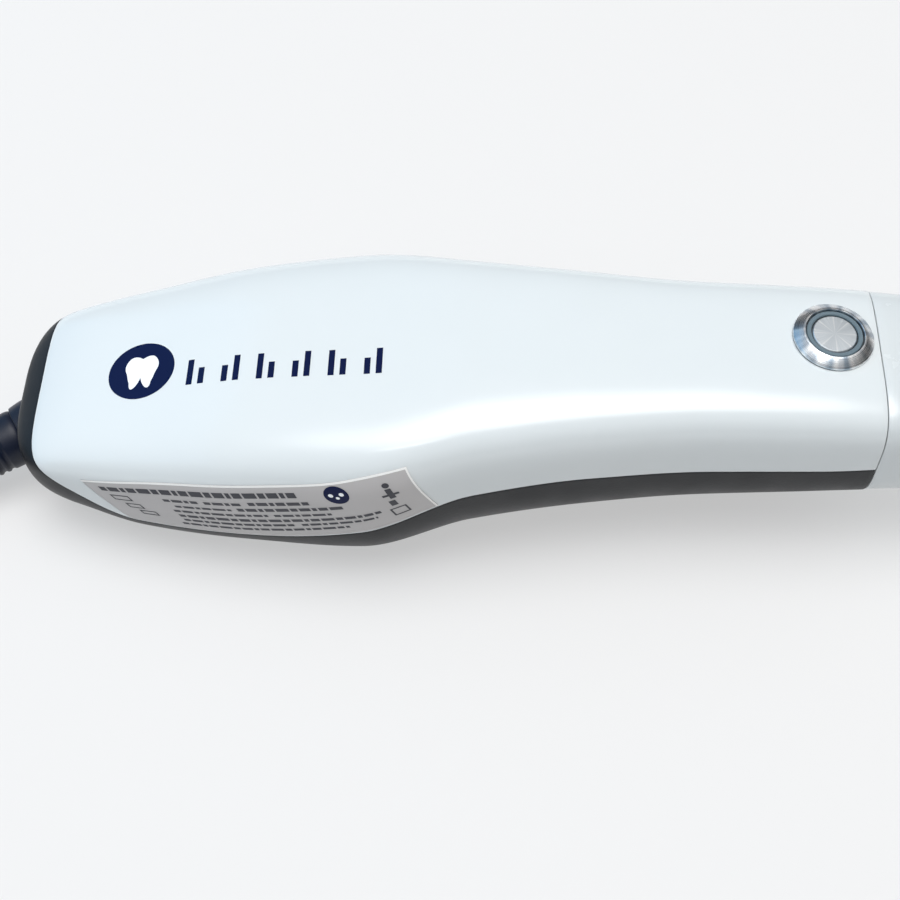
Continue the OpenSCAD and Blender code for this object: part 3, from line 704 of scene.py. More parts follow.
@dataclass(frozen=True)
class HandleForm:
    """The outside of the handle: superellipse sections that follow smooth curves."""

    tail_x: float = -108.4
    tail_round: float = 8.4
    tail_power: float = 3.0
    joint_x: float = 32.0
    upper_power: float = 4.3
    corner_x: float = -101.0
    stations: tuple = (
        Station(-109, 14.4, 19.4, 4.3, 17.4, 25.2, 2.0),
        Station(-104, 15.9, 21.4, 3.1, 16.4, 20.4, 2.0),
        Station(-98, 17.7, 23.7, 0.9, 14.8, 15.9, 2.0),
        Station(-87, 20.3, 26.6, 0.0, 13.4, 10.8, 2.3),
        Station(-69, 23.0, 31.0, -0.6, 15.2, 11.6, 2.4),
        Station(-50, 24.2, 33.8, 0.0, 16.9, 15.6, 2.6),
        Station(-32, 20.8, 36.2, 5.7, 21.0, 22.4, 2.7),
        Station(-13, 18.0, 37.0, 8.2, 22.6, 24.0, 2.8),
        Station(5, 16.2, 37.0, 9.6, 23.3, 24.0, 2.9),
        Station(24, 15.7, 36.6, 11.4, 24.0, 24.2, 3.0),
        Station(36, 15.4, 35.8, 12.6, 24.2, 25.2, 3.0),
    )

    @cached_property
    def curves(self) -> dict:
        """Gives one smooth curve for each value of a station."""
        xs = tuple(s.x for s in self.stations)
        names = ("half_w", "top", "bottom", "mid", "split", "roundness")
        return {n: Profile(xs, tuple(getattr(s, n) for s in self.stations)) for n in names}

    def shrink(self, x: float) -> float:
        """Gives how far a section has shrunk where the tail rounds off."""
        past = (self.tail_x + self.tail_round - x) / self.tail_round
        return 1.0 if past <= 0 else max(0.0, 1 - min(past, 1) ** self.tail_power) ** (1 / self.tail_power)

    def section(self, x: float) -> tuple[float, float, float, float, float]:
        """Gives half width, height over and under the widest line, that line, and roundness."""
        s = self.shrink(x)
        c = {name: curve.at(x) for name, curve in self.curves.items()}
        over, under = (c["top"] - c["mid"]) * s, (c["mid"] - c["bottom"]) * s
        return c["half_w"] * s, over, under, c["mid"], c["roundness"]

    def point(self, x: float, angle: float, lift: float = 0.0) -> Vector:
        """Gives the surface's point at x, at an angle round the section.

        Args:
            x: Place along the handle.
            angle: 0 is the far side, 90 the top and 180 the near side, in degrees.
            lift: Height above the surface, in millimetres.

        Returns:
            The point, in millimetres.
        """
        half_w, over, under, mid, roundness = self.section(x)
        c, s = math.cos(math.radians(angle)), math.sin(math.radians(angle))
        power = self.upper_power if s >= 0 else roundness
        size = (abs(c) ** power + abs(s) ** power) ** (-1 / power)
        z = mid + s * size * ((over if s >= 0 else under) + lift)
        return Vector((x, c * size * (half_w + lift), max(z, 0.0)))

    def split_angle(self, x: float) -> float:
        """Gives the angle at which the far line between the covers crosses the section."""
        _, over, under, mid, roundness = self.section(x)
        rise = self.curves["split"].at(x) - mid
        share = min(rise / over, 1.0) if rise >= 0 else max(rise / under, -1.0)
        power = self.upper_power if rise >= 0 else roundness
        across = (1 - abs(share) ** power) ** (1 / power)
        return math.degrees(math.atan2(share, across))

    def border_x(self, angle: float) -> float:
        """Gives where, over the tail, the line between the covers crosses an angle."""
        low, high = self.tail_x + 0.5, -92.0
        for _ in range(40):
            middle = (low + high) / 2
            if self.point(middle, angle).z < self.curves["split"].at(middle):
                low = middle
            else:
                high = middle
        return high

    def side_point(self, x: float, z: float, lift: float = 0.0) -> Vector:
        """Gives the near side's point at x and a height, in millimetres."""
        half_w, over, under, mid, roundness = self.section(x)
        power, room = (self.upper_power, over) if z >= mid else (roundness, under)
        share = min(abs(z - mid) / room, 1.0)
        return Vector((x, -(half_w * (1 - share**power) ** (1 / power) + lift), z))

    def top_point(self, x: float, y: float, lift: float = 0.0) -> Vector:
        """Gives the top face's point at x and y, in millimetres."""
        half_w, over, _, mid, _ = self.section(x)
        share = min(abs(y) / half_w, 1.0)
        return Vector((x, y, mid + over * (1 - share**self.upper_power) ** (1 / self.upper_power) + lift))

    def heart(self, at: Vector) -> Vector:
        """Gives the middle of the section beside a point, both in metres."""
        return Vector((max(at.x, -0.1), 0.0, self.curves["mid"].at(at.x / MM) * MM))


FORM = HandleForm()


@dataclass
class Covers:
    """The white upper cover and the charcoal lower one."""

    wall: float = 2.0
    gap: float = 0.06
    columns: int = 112
    rows: int = 176
    cap_rows: int = 22
    low_columns: int = 76
    screw_spots: tuple = ((-72, 16, 3.9), (-72, -16, 3.9), (-24, 13, 10.0), (-24, -13, 10.0))
    fade_length: float = 9.0

    def upper_sheet(self) -> bmesh.types.BMesh:
        """Builds the white cover's outside, whose edge follows the line between the covers."""
        start = FORM.split_angle(FORM.corner_x)
        shifts = [
            FORM.border_x(start + (180 - 2 * start) * i / self.columns) - FORM.corner_x
            for i in range(self.columns + 1)
        ]

        def place(u: float, v: float) -> Vector:
            """Gives the cover's point at two shares."""
            x = FORM.corner_x + (FORM.joint_x - FORM.corner_x) * u
            low = FORM.split_angle(x) + self.gap
            fade = max(0.0, 1 - (x - FORM.corner_x) / self.fade_length) ** 1.5
            shift = shifts[round(v * self.columns)]
            return FORM.point(x + fade * shift, low + (180 - 2 * low) * v)

        made = bmesh.new()
        mapped_grid(made, self.rows, self.columns, place)
        clean(made, FORM.heart)
        return made

    def lower_sheet(self) -> bmesh.types.BMesh:
        """Builds the charcoal cover's outside: the tail's cap and the trough before it."""
        corner = FORM.split_angle(FORM.corner_x)

        def along(u: float, end: float) -> float:
            """Gives x at a share from the tail's pole, with closer rows near the pole."""
            return FORM.tail_x + (end - FORM.tail_x) * u**2.6

        def cap_top(u: float, v: float) -> Vector:
            """Gives the cap's point above the corners."""
            angle = corner + (180 - 2 * corner) * v
            return FORM.point(along(u, FORM.border_x(angle)), angle)

        def cap_low(u: float, v: float) -> Vector:
            """Gives the cap's point below the corners."""
            angle = 180 - corner + (180 + 2 * corner) * v
            return FORM.point(along(u, FORM.corner_x), angle)

        def trough(u: float, v: float) -> Vector:
            """Gives the trough's point."""
            x = FORM.corner_x + (FORM.joint_x - FORM.corner_x) * u
            low = FORM.split_angle(x)
            return FORM.point(x, 180 - low + (180 + 2 * low) * v)

        made = bmesh.new()
        mapped_grid(made, self.cap_rows, self.columns, cap_top)
        mapped_grid(made, self.cap_rows, self.low_columns, cap_low)
        mapped_grid(made, self.rows, self.low_columns, trough)
        clean(made, FORM.heart)
        return made

    def cylinder(self, place: Matrix, radius: float, low: float, high: float) -> bpy.types.Object:
        """Makes a cutter: a cylinder between two heights of its own axis."""
        made = bmesh.new()
        lathe(made, ((0, low), (radius, low), (radius, high), (0, high)), place, 64)
        return new_object("cutter", made)

    def build(self) -> None:
        """Builds and dresses both covers, with the screws' sleeves inside."""
        upper = ease_edges(give_wall(new_object("white_cover", self.upper_sheet()), self.wall), 0.12)
        cut_away(upper, self.cylinder(BUTTON_PLACE, 5.55, -9, 4))
        finish_piece(upper, Surface.WHITE_SHELL.value, "white_cover", HANDPIECE, "upper_cover")
        lower = ease_edges(give_wall(new_object("charcoal_cover", self.lower_sheet()), self.wall), 0.12)
        sleeves = bmesh.new()
        for x, y, seat in self.screw_spots:
            spot = Matrix.Translation(Vector((x, y, 0)) * MM)
            cut_away(lower, self.cylinder(spot, 2.3, -1, seat + 2))
            low, high = seat + 2, 13.9
            profile = ((3.2, low), (3.2, high), (1.15, high), (1.15, low + 0.05), (2.3, low + 0.05))
            lathe(sleeves, profile, spot, 32, closed=True)
        finish_piece(lower, Surface.DARK_SHELL.value, "dark_cover", HANDPIECE, "lower_cover")
        finish_piece(
            new_object("screw_sleeves", sleeves), Surface.DARK_SHELL.value, "dark_cover", HANDPIECE
        )


# ---- The label and the printing ----


@dataclass
class Label:
    """The grey film on the near side, with plain bars in place of its lettering."""

    lift: float = 0.12
    ink_lift: float = 0.15
    bottom_xs: tuple = (-88.5, -37.5)
    top_line: Profile = Profile(
        (-95.5, -80.0, -65.0, -55.0, -48.0, -42.5), (19.8, 23.6, 26.4, 28.2, 30.0, 31.2)
    )
    size: tuple = (53.0, 13.0)
    bars: tuple = (
        # first share along, last share along, share up, height share
        (0.04, 0.66, 0.85, 0.085),
        (0.22, 0.33, 0.69, 0.05),
        (0.35, 0.47, 0.69, 0.05),
        (0.49, 0.68, 0.70, 0.06),
        (0.24, 0.42, 0.57, 0.04),
        (0.44, 0.77, 0.58, 0.06),
        (0.22, 0.52, 0.46, 0.045),
        (0.54, 0.72, 0.46, 0.045),
        (0.22, 0.86, 0.35, 0.055),
        (0.22, 0.58, 0.25, 0.045),
        (0.60, 0.84, 0.25, 0.045),
        (0.20, 0.74, 0.15, 0.045),
    )
    boxes: tuple = ((0.05, 0.11, 0.60, 0.72), (0.07, 0.12, 0.42, 0.53), (0.09, 0.145, 0.27, 0.37))

    def spot(self, u: float, v: float, lift: float) -> Vector:
        """Gives the label's point at a share along and a share up, in millimetres."""
        low_x = self.bottom_xs[0] + (self.bottom_xs[1] - self.bottom_xs[0]) * u
        ends = self.top_line.xs
        high_x = ends[0] + (ends[-1] - ends[0]) * u
        x = low_x + (high_x - low_x) * v
        low_z = FORM.curves["split"].at(low_x) + 0.5
        return FORM.side_point(x, low_z + (self.top_line.at(high_x) - low_z) * v, lift)

    def patch(self, made: bmesh.types.BMesh, corners: tuple, lift: float, cells: tuple) -> None:
        """Adds one printed patch between two shares along and two shares up."""
        u0, u1, v0, v1 = corners
        mapped_grid(
            made, *cells, lambda u, v: self.spot(u0 + (u1 - u0) * u, v0 + (v1 - v0) * v, lift)
        )

    def outline(self, made: bmesh.types.BMesh, corners: tuple, line: float) -> None:
        """Adds the four sides of a small printed box."""
        u0, u1, v0, v1 = corners
        along, up = line / self.size[0], line / self.size[1]
        for side in (
            (u0, u1, v1 - up, v1),
            (u0, u1, v0, v0 + up),
            (u0, u0 + along, v0, v1),
            (u1 - along, u1, v0, v1),
        ):
            self.patch(made, side, self.ink_lift, (6, 2))

    def disc(self, made: bmesh.types.BMesh, middle: tuple, radius: float, lift: float) -> None:
        """Adds a printed disc of a radius in millimetres."""
        spot = bmesh.ops.create_circle(made, cap_ends=True, segments=40, radius=radius)
        face = list({f for v in spot["verts"] for f in v.link_faces})
        inner = bmesh.ops.inset_individual(
            made, faces=face, thickness=radius * 0.5, use_even_offset=True
        )
        points = {v for f in inner["faces"] + face for v in f.verts} | set(spot["verts"])
        for vertex in points:
            u = middle[0] + vertex.co.x / self.size[0]
            v = middle[1] + vertex.co.y / self.size[1]
            vertex.co = self.spot(u, v, lift) * MM

    def build(self) -> None:
        """Builds the film, a painted highlight along its top and right edges, and its printing."""
        film = bmesh.new()
        mapped_grid(film, 110, 26, lambda u, v: self.spot(u, v, self.lift))
        clean(film, FORM.heart)
        piece = give_wall(new_object("label_film", film), 0.1)
        finish_piece(piece, Surface.LABEL_FILM.value, "label_film", HANDPIECE, "rating_label")
        # Painted highlight: thin near-white strips along the film's top and right edges
        edge = bmesh.new()
        self.patch(edge, (0.0, 1.0, 0.972, 1.0), self.ink_lift, (110, 2))
        self.patch(edge, (0.994, 1.0, 0.0, 0.972), self.ink_lift, (2, 26))
        clean(edge, FORM.heart)
        finish_piece(new_object("label_edge_highlight", edge), Surface.LABEL_EDGE_HIGHLIGHT.value, "label_film", HANDPIECE)
        ink = bmesh.new()
        for low, high, up, tall in self.bars:
            self.words(ink, low, high, up, tall)
        for box in self.boxes:
            self.outline(ink, box, 0.25)
        self.outline(ink, (0.885, 0.935, 0.16, 0.34), 0.3)
        self.patch(ink, (0.90, 0.92, 0.40, 0.52), self.ink_lift, (3, 3))
        self.patch(ink, (0.895, 0.945, 0.62, 0.66), self.ink_lift, (3, 2))
        self.patch(ink, (0.912, 0.93, 0.56, 0.76), self.ink_lift, (2, 4))
        self.disc(ink, (0.9215, 0.82), 0.55, self.ink_lift)
        clean(ink, FORM.heart)
        finish_piece(new_object("label_print", ink), Surface.LABEL_INK.value, "label_film", HANDPIECE)
        badge = bmesh.new()
        self.disc(badge, (0.775, 0.81), 1.9, self.ink_lift)
        clean(badge, FORM.heart)
        finish_piece(new_object("label_badge", badge), Surface.NAVY_INK.value, "label_film", HANDPIECE)
        dots = bmesh.new()
        for along, up, radius in ((-0.016, 0.0, 0.38), (0.016, 0.0, 0.38), (0.0, -0.05, 0.3)):
            self.disc(dots, (0.775 + along, 0.82 + up), radius, self.ink_lift + 0.02)
        clean(dots, FORM.heart)
        finish_piece(new_object("badge_dots", dots), Surface.WHITE_INK.value, "label_film", HANDPIECE)

    def words(self, ink: bmesh.types.BMesh, low: float, high: float, up: float, tall: float) -> None:
        """Adds a row of short bars with gaps, spaced as words are."""
        at, step = low, 0
        while at < high:
            wide = (0.021, 0.034, 0.014, 0.028, 0.040)[step % 5]
            end = min(at + wide, high)
            self.patch(ink, (at, end, up - tall / 2, up + tall / 2), self.ink_lift, (4, 2))
            at, step = end + 0.006, step + 1


@dataclass
class Emblem:
    """Printing on the white cover: a plain disc with a plain tooth on it, and a row of plain strokes."""

    centre: tuple = (-86.8, -1.1)
    radius: float = 5.6
    lift: float = 0.015
    # A plain tooth: its reach from the middle, at angles from between the roots to the crown's dip
    tooth: Profile = Profile((-90, -69, -50, -18, 22, 52, 90), (1.6, 4.0, 3.0, 2.5, 3.0, 3.2, 2.2))
    stroke_spots: tuple = (-77.4, -71.6, -65.8, -60.0, -54.2, -48.4)

    def build(self) -> None:
        """Builds the disc, the tooth and the strokes."""
        disc = bmesh.new()
        self.ring(disc, 0.0, self.radius, 0.0, 360.0, self.centre, self.lift)
        clean(disc, FORM.heart)
        finish_piece(new_object("emblem_disc", disc), Surface.NAVY_INK.value, "white_cover", HANDPIECE)
        tooth = bmesh.new()
        mapped_grid(tooth, 96, 8, self.tooth_point)
        clean(tooth, FORM.heart)
        finish_piece(new_object("emblem_tooth", tooth), Surface.WHITE_INK.value, "white_cover", HANDPIECE)
        strokes = bmesh.new()
        for number, x in enumerate(self.stroke_spots):
            y = self.centre[1] - 1.4 - 0.02 * (x - self.centre[0])
            for side in (-1.0, 1.0):
                half = (2.5, 1.6)[(number + (side > 0)) % 2]
                self.bar(strokes, (x + side * 0.95, y - 2.5 + half), 0.5, half)
        clean(strokes, FORM.heart)
        finish_piece(new_object("emblem_strokes", strokes), Surface.NAVY_INK.value, "white_cover", HANDPIECE)

    def ring(
        self,
        made: bmesh.types.BMesh,
        inner: float,
        outer: float,
        first: float,
        last: float,
        centre: tuple,
        lift: float,
    ) -> None:
        """Adds a disc, ring or arc that lies on the top face."""

        def place(u: float, v: float) -> Vector:
            """Gives the print's point at two shares."""
            angle = math.radians(first + (last - first) * u)
            radius = inner + (outer - inner) * v
            return FORM.top_point(
                centre[0] + radius * math.cos(angle), centre[1] + radius * math.sin(angle), lift
            )

        mapped_grid(made, 72 if last - first > 300 else 24, 8, place)

    def tooth_point(self, u: float, v: float) -> Vector:
        """Gives the tooth's point at a share round it and a share outwards."""
        angle = -90 + 360 * u
        reach = v * self.tooth.at(angle if angle <= 90 else 180 - angle)
        x, y = (reach * f(math.radians(angle)) for f in (math.cos, math.sin))
        return FORM.top_point(self.centre[0] + x, self.centre[1] + y + 0.2, self.lift * 2)

    def bar(self, made: bmesh.types.BMesh, centre: tuple, half_w: float, half_h: float) -> None:
        """Adds a slim stroke that lies on the top face."""
        mapped_grid(
            made,
            3,
            8,
            lambda u, v: FORM.top_point(
                centre[0] + half_w * (2 * u - 1), centre[1] + half_h * (2 * v - 1), self.lift
            ),
        )


# ---- The button ----

BUTTON_PLACE = Matrix.Translation(Vector((24.6, 1.6, 36.4)) * MM) @ Matrix.Rotation(math.radians(3), 4, "Y")


@dataclass
class PushButton:
    """The ring-lit metal button: bezel, light ring, plunger and near-black rings of painted shade in the gaps
    between.
    """

    bezel_r: float = 6.5
    ring_r: float = 4.6
    plunger_r: float = 3.6
    foot: float = 0.3
    head: float = 1.7

    def build(self) -> None:
        """Builds the turned pieces."""
        foot, head = self.foot, self.head
        bezel = bmesh.new()
        profile = (
            (self.ring_r + 0.06, head - 0.35),
            (self.ring_r + 0.13, head - 0.06),
            (self.ring_r + 0.2, head),
            (self.ring_r + 0.36, head),
            (self.ring_r + 0.46, head - 0.05),
            (self.bezel_r - 0.14, foot + 0.56),
            (self.bezel_r - 0.03, foot + 0.44),
            (self.bezel_r, foot + 0.32),
            (self.bezel_r, foot + 0.06),
            (self.bezel_r - 0.06, foot),
            (5.5, foot),
            (5.5, -7.6),
            (4.2, -7.6),
            (4.2, -2.4),
            (self.ring_r + 0.06, -2.4),
        )
        lathe(bezel, profile, BUTTON_PLACE, 144, closed=True)
        shape = new_object("button_bezel", bezel, 28)
        finish_piece(
            shape, Surface.BEZEL_STEEL.value, "button_steel", HANDPIECE, "button_housing"
        )
        ring = bmesh.new()
        profile = (
            (self.plunger_r + 0.17, -2.4),
            (self.ring_r - 0.1, -2.4),
            (self.ring_r - 0.1, head - 0.34),
            (self.ring_r - 0.2, head - 0.22),
            (self.plunger_r + 0.28, head - 0.22),
            (self.plunger_r + 0.17, head - 0.32),
        )
        lathe(ring, profile, BUTTON_PLACE, 144, closed=True)
        shape = new_object("light_ring", ring, 28)
        finish_piece(
            shape, Surface.LIGHT_GUIDE.value, "light_ring", HANDPIECE, "button_led_ring"
        )
        plunger = bmesh.new()
        profile = (
            (0, -3.0),
            (3.5, -3.0),
            (3.5, -3.3),
            (4.1, -3.3),
            (4.1, -2.5),
            (self.plunger_r, -2.5),
            (self.plunger_r, head - 0.5),
            (self.plunger_r - 0.08, head - 0.38),
            (self.plunger_r - 0.2, head - 0.3),
            (0, head - 0.24),
        )
        lathe(plunger, profile, BUTTON_PLACE, 144)
        shape = new_object("plunger_cap", plunger, 28)
        finish_piece(
            shape, Surface.PLUNGER_STEEL.value, "plunger_steel", BUTTON, "button_plunger"
        )
        # Painted shade: near-black rings down in the gaps round the light ring and the plunger, where only
        # shade falls
        groove = bmesh.new()
        ring_gap = (self.ring_r - 0.11, self.ring_r + 0.07)
        plunger_gap = (self.plunger_r + 0.03, self.plunger_r + 0.18)
        for inner, outer in (ring_gap, plunger_gap):
            top = head - 0.62
            profile = ((inner, -2.3), (outer, -2.3), (outer, top), (inner, top))
            lathe(groove, profile, BUTTON_PLACE, 96, closed=True)
        finish_piece(new_object("ring_gap_shade", groove), Surface.GAP_SHADE.value, "light_ring", HANDPIECE)


# ---- The tip ----


@dataclass
class ScanTip:
    """The lift-off tip: a tapering shell with a rounded nose and a window underneath."""

    base_x: float = 32.2
    end_x: float = 136.0
    nose_round: float = 11.0
    nose_power: float = 2.4
    wall: float = 1.6
    window_x: float = 119.5
    window: tuple = (17.0, 13.6)
    upper_power: float = 4.3
    lower_power: float = 3.0
    xs: tuple = (30, 45, 60, 75, 90, 108, 124, 136)
    half_ws: tuple = (15.5, 14.9, 13.5, 11.8, 10.5, 9.6, 9.6, 9.6)
    tops: tuple = (36.2, 34.9, 33.0, 30.8, 29.2, 27.9, 27.1, 26.6)
    bottoms: tuple = (12.2, 13.2, 14.6, 15.6, 15.2, 14.0, 13.0, 12.4)
    columns: int = 144

    @cached_property
    def curves(self) -> tuple:
        """Gives the smooth curves of half width, top and bottom."""
        return tuple(Profile(self.xs, values) for values in (self.half_ws, self.tops, self.bottoms))

    def point(self, x: float, angle: float) -> Vector:
        """Gives the shell's point at x and an angle in degrees, in millimetres."""
        half_w, top, bottom = (curve.at(x) for curve in self.curves)
        past = (x - self.end_x + self.nose_round) / self.nose_round
        size = 1.0 if past <= 0 else max(0.0, 1 - min(past, 1) ** self.nose_power) ** (1 / self.nose_power)
        c, s = math.cos(math.radians(angle)), math.sin(math.radians(angle))
        power = self.upper_power if s >= 0 else self.lower_power
        reach = size * (abs(c) ** power + abs(s) ** power) ** (-1 / power)
        return Vector((x, half_w * c * reach, (top + bottom) / 2 + (top - bottom) / 2 * s * reach))

    def build(self) -> None:
        """Builds the shell and cuts its window."""

        def place(u: float, v: float) -> Vector:
            """Gives the shell's point at two shares, with closer rows at the nose."""
            x = self.base_x + (self.end_x - self.base_x) * (1 - (1 - u) ** 2.2)
            return self.point(x, 360 * v)

        def heart(at: Vector) -> Vector:
            """Gives the middle of the section beside a point, in metres."""
            return Vector((min(at.x, 0.128), 0, 0.02))

        made = bmesh.new()
        mapped_grid(made, 120, self.columns, place)
        clean(made, heart)
        shell = ease_edges(give_wall(new_object("tip_shell_skin", made), self.wall), 0.12)
        cutter = bmesh.new()
        half_l, half_w = self.window[0] / 2, self.window[1] / 2
        size = Matrix.Diagonal((half_l * 2 * MM, half_w * 2 * MM, 0.0114, 1))
        place_box = Matrix.Translation(Vector((self.window_x, 0, 10.7)) * MM) @ size
        bmesh.ops.create_cube(cutter, size=1, matrix=place_box)
        upright = [e for e in cutter.edges if abs((e.verts[0].co - e.verts[1].co).z) > 0.005]
        bmesh.ops.bevel(
            cutter,
            geom=upright,
            offset=3 * MM,
            offset_type="OFFSET",
            segments=8,
            profile=0.5,
            affect="EDGES",
            material=-1,
        )
        shell = ease_edges(cut_away(shell, new_object("cutter", cutter)), 0.25, 60)
        finish_piece(shell, Surface.TIP_SHELL.value, "tip_white", SCAN_TIP, "tip_shell")


# ---- The boot, the lead and its plug ----


@dataclass
class CableBoot:
    """The rubber boot: a smooth collar, then ribs on a tapering sleeve."""

    start: tuple = (-107.0, -1.4, 10.4)
    yaw: float = 31.0
    droop: float = 9.0
    length: float = 32.0
    collar_r: float = 5.2
    collar_l: float = 3.2
    rib_pitch: float = 1.4
    rib_depth: float = 0.3
    first_rib: float = 6.6
    last_rib: float = 26.2

    @property
    def place(self) -> Matrix:
        """Gives the boot's foot and axis."""
        turn = Matrix.Rotation(math.radians(self.yaw), 4, "Z") @ Matrix.Rotation(
            math.radians(-90 - self.droop), 4, "Y"
        )
        return Matrix.Translation(Vector(self.start) * MM) @ turn

    @property
    def end(self) -> Vector:
        """Gives the boot's far end, in millimetres."""
        return self.place @ Vector((0, 0, self.length * MM)) / MM

    def radius(self, z: float) -> float:
        """Gives the boot's radius at a distance from its foot."""
        sleeve = 5.1 - 2.1 * (z / self.length) ** 1.1
        if z < self.collar_l:
            return self.collar_r - 0.03 * z**2
        if z < self.first_rib:
            return sleeve - 0.45 * math.exp(-(z - self.collar_l) / 0.5)
        if z > self.last_rib:
            return sleeve - 0.2
        wave = math.cos(math.tau * (z - self.first_rib) / self.rib_pitch)
        return sleeve - self.rib_depth / 2 * (1 - signed_power(wave, 0.6))

    def build(self) -> None:
        """Builds the boot."""
        steps = 220
        along = [self.length * i / steps for i in range(steps + 1)]
        outside = [(self.radius(z), z) for z in along]
        profile = [(0, -5), (4, -5), (4, 0), *outside, (2.5, self.length + 0.1), (0, self.length + 0.1)]
        made = bmesh.new()
        lathe(made, profile, self.place, 96)
        boot = new_object("ribbed_boot", made, 50)
        finish_piece(boot, Surface.BOOT_RUBBER.value, "boot_rubber", HANDPIECE, "cable_boot")


@dataclass
class Lead:
    """The 2 m lead: it leaves the boot, is put away in a hank of 7 turns, and ends in its plug."""

    diameter: float = 5.0
    length: float = 2.0
    hank_x: float = -224.0
    half_run: float = 36.0
    outer_r: float = 20.5
    inner_r: float = 15.5
    outer_waist: float = 7.6
    inner_waist: float = 2.6
    lift: float = 0.8
    lift_l: float = 14.0
    window: float = 0.3
    start_point: tuple = (0.0, 0.0, 0.0)
    run: tuple = (
        (-138, -20, 4.7), (-143, -22.7, 3.7), (-149, -25.2, 3), (-156, -26.8, 2.6),
        (-163, -27, 2.5), (-170, -25.8, 2.5), (-177, -23.6, 2.5), (-183, -21.8, 2.5),
    )
    last: tuple = (
        (-194, -13.7, 22.5), (-200, -11.2, 22.9), (-206, -8.4, 23.5), (-213, -5.4, 24.0),
        (-220, -2.8, 24.3), (-228, -1.0, 24.3), (-237, 0, 24.1), (-246, 0, 24.1),
    )
    # Each turn: whether it lies outside or inside, and its layer
    turns: tuple = ((True, 0), (False, 0), (False, 1), (True, 1), (True, 2), (False, 2), (False, 3))

    def height(self, layer: float) -> float:
        """Gives the height of a layer's centreline."""
        return self.diameter / 2 + self.diameter * layer

    def lane(self, dx: float, side: float, radius: float, waist: float, z: float) -> tuple:
        """Gives a straight run's point at dx from the waist."""
        share = (1 - math.cos(math.pi * dx / self.half_run)) / 2
        raised = self.lift * math.exp(-((dx / self.lift_l) ** 2))
        return self.hank_x + dx, side * (waist + (radius - waist) * share), z + raised

    def turn_points(self, number: int) -> list:
        """Gives one turn's points, which end where the next one's begin."""
        outside, layer = self.turns[number]
        after = self.turns[number + 1] if number + 1 < len(self.turns) else (False, 4)
        radius, waist = (
            (self.outer_r, self.outer_waist) if outside else (self.inner_r, self.inner_waist)
        )
        z = self.height(layer)
        half, steps = self.half_run, 8
        points = [
            self.lane(half - 2 * half * i / steps, -1, radius, waist, z) for i in range(steps)
        ]
        for i in range(steps + 1):
            angle = math.radians(270 - 180 * i / steps)
            points.append((self.hank_x - half + radius * math.cos(angle), radius * math.sin(angle), z))
        points += [
            self.lane(-half + 2 * half * i / steps, 1, radius, waist, z) for i in range(1, steps)
        ]
        next_r = self.outer_r if after[0] else self.inner_r
        first = max(0, 5 - number) * 0.14
        for i in range(10):
            share = min(max((i / 10 - first) / self.window, 0), 1)
            share = share * share * (3 - 2 * share)
            here = radius + (next_r - radius) * share
            angle = math.radians(90 - 180 * i / 10)
            rise = (self.height(after[1]) - z) * share
            x, y = here * math.cos(angle), here * math.sin(angle)
            points.append((self.hank_x + half + x, y, z + rise))
        return points

    def route(self) -> list:
        """Gives the whole centreline's points, in metres."""
        points = [self.start_point, *self.run]
        for number in range(len(self.turns)):
            points += self.turn_points(number)
        return [Vector(p) * MM for p in [*points, *self.last]]

    def build(self, pieces: list) -> None:
        """Draws the lead as one smooth curve and says what it is."""
        curve = bpy.data.curves.new("usb_lead", "CURVE")
        curve.dimensions = "3D"
        curve.bevel_depth = self.diameter / 2 * MM
        curve.bevel_resolution = 5
        curve.resolution_u = 5
        curve.use_fill_caps = True
        line = curve.splines.new("BEZIER")
        points = self.route()
        line.bezier_points.add(len(points) - 1)
        for knot, point in zip(line.bezier_points, points):
            knot.co = point
            knot.handle_left_type = knot.handle_right_type = "AUTO"
        lead = bpy.data.objects.new("usb_lead", curve)
        bpy.context.scene.collection.objects.link(lead)
        parts = ("cord_run", "cord_hank", "cord_end")
        finish_piece(lead, Surface.CORD_JACKET.value, "cord_cover", HANDPIECE, *parts)


@dataclass
class Tie:
    """The hook-and-loop strap round the hank's waist."""

    x: float = -224.0
    width: float = 12.0
    thick: float = 0.8
    half_w: float = 11.0
    top: float = 21.6
    corner: float = 2.6

    def build(self) -> bpy.types.Object:
        """Builds the strap as a band with rounded corners."""
        made = bmesh.new()
        rounded_box(
            made,
            (self.x - self.width / 2, -self.half_w, 0.0),
            (self.x + self.width / 2, self.half_w, self.top),
            0.01,
            1,
        )
        ends = [f for f in made.faces if abs(f.normal.x) > 0.9]
        bmesh.ops.delete(made, geom=ends, context="FACES_ONLY")
        bmesh.ops.remove_doubles(made, verts=made.verts, dist=3e-5)
        corners = [e for e in made.edges if abs((e.verts[0].co - e.verts[1].co).x) > 0.01]
        bmesh.ops.bevel(
            made,
            geom=corners,
            offset=self.corner * MM,
            offset_type="OFFSET",
            segments=8,
            profile=0.5,
            affect="EDGES",
            material=-1,
        )
        clean(made, lambda at: Vector((at.x, 0, self.top / 2 * MM)))
        strap = ease_edges(give_wall(new_object("hook_strap", made), self.thick), 0.2)
        return finish_piece(strap, Surface.TAPE.value, "tie_strap", HANDPIECE, "cord_tie")


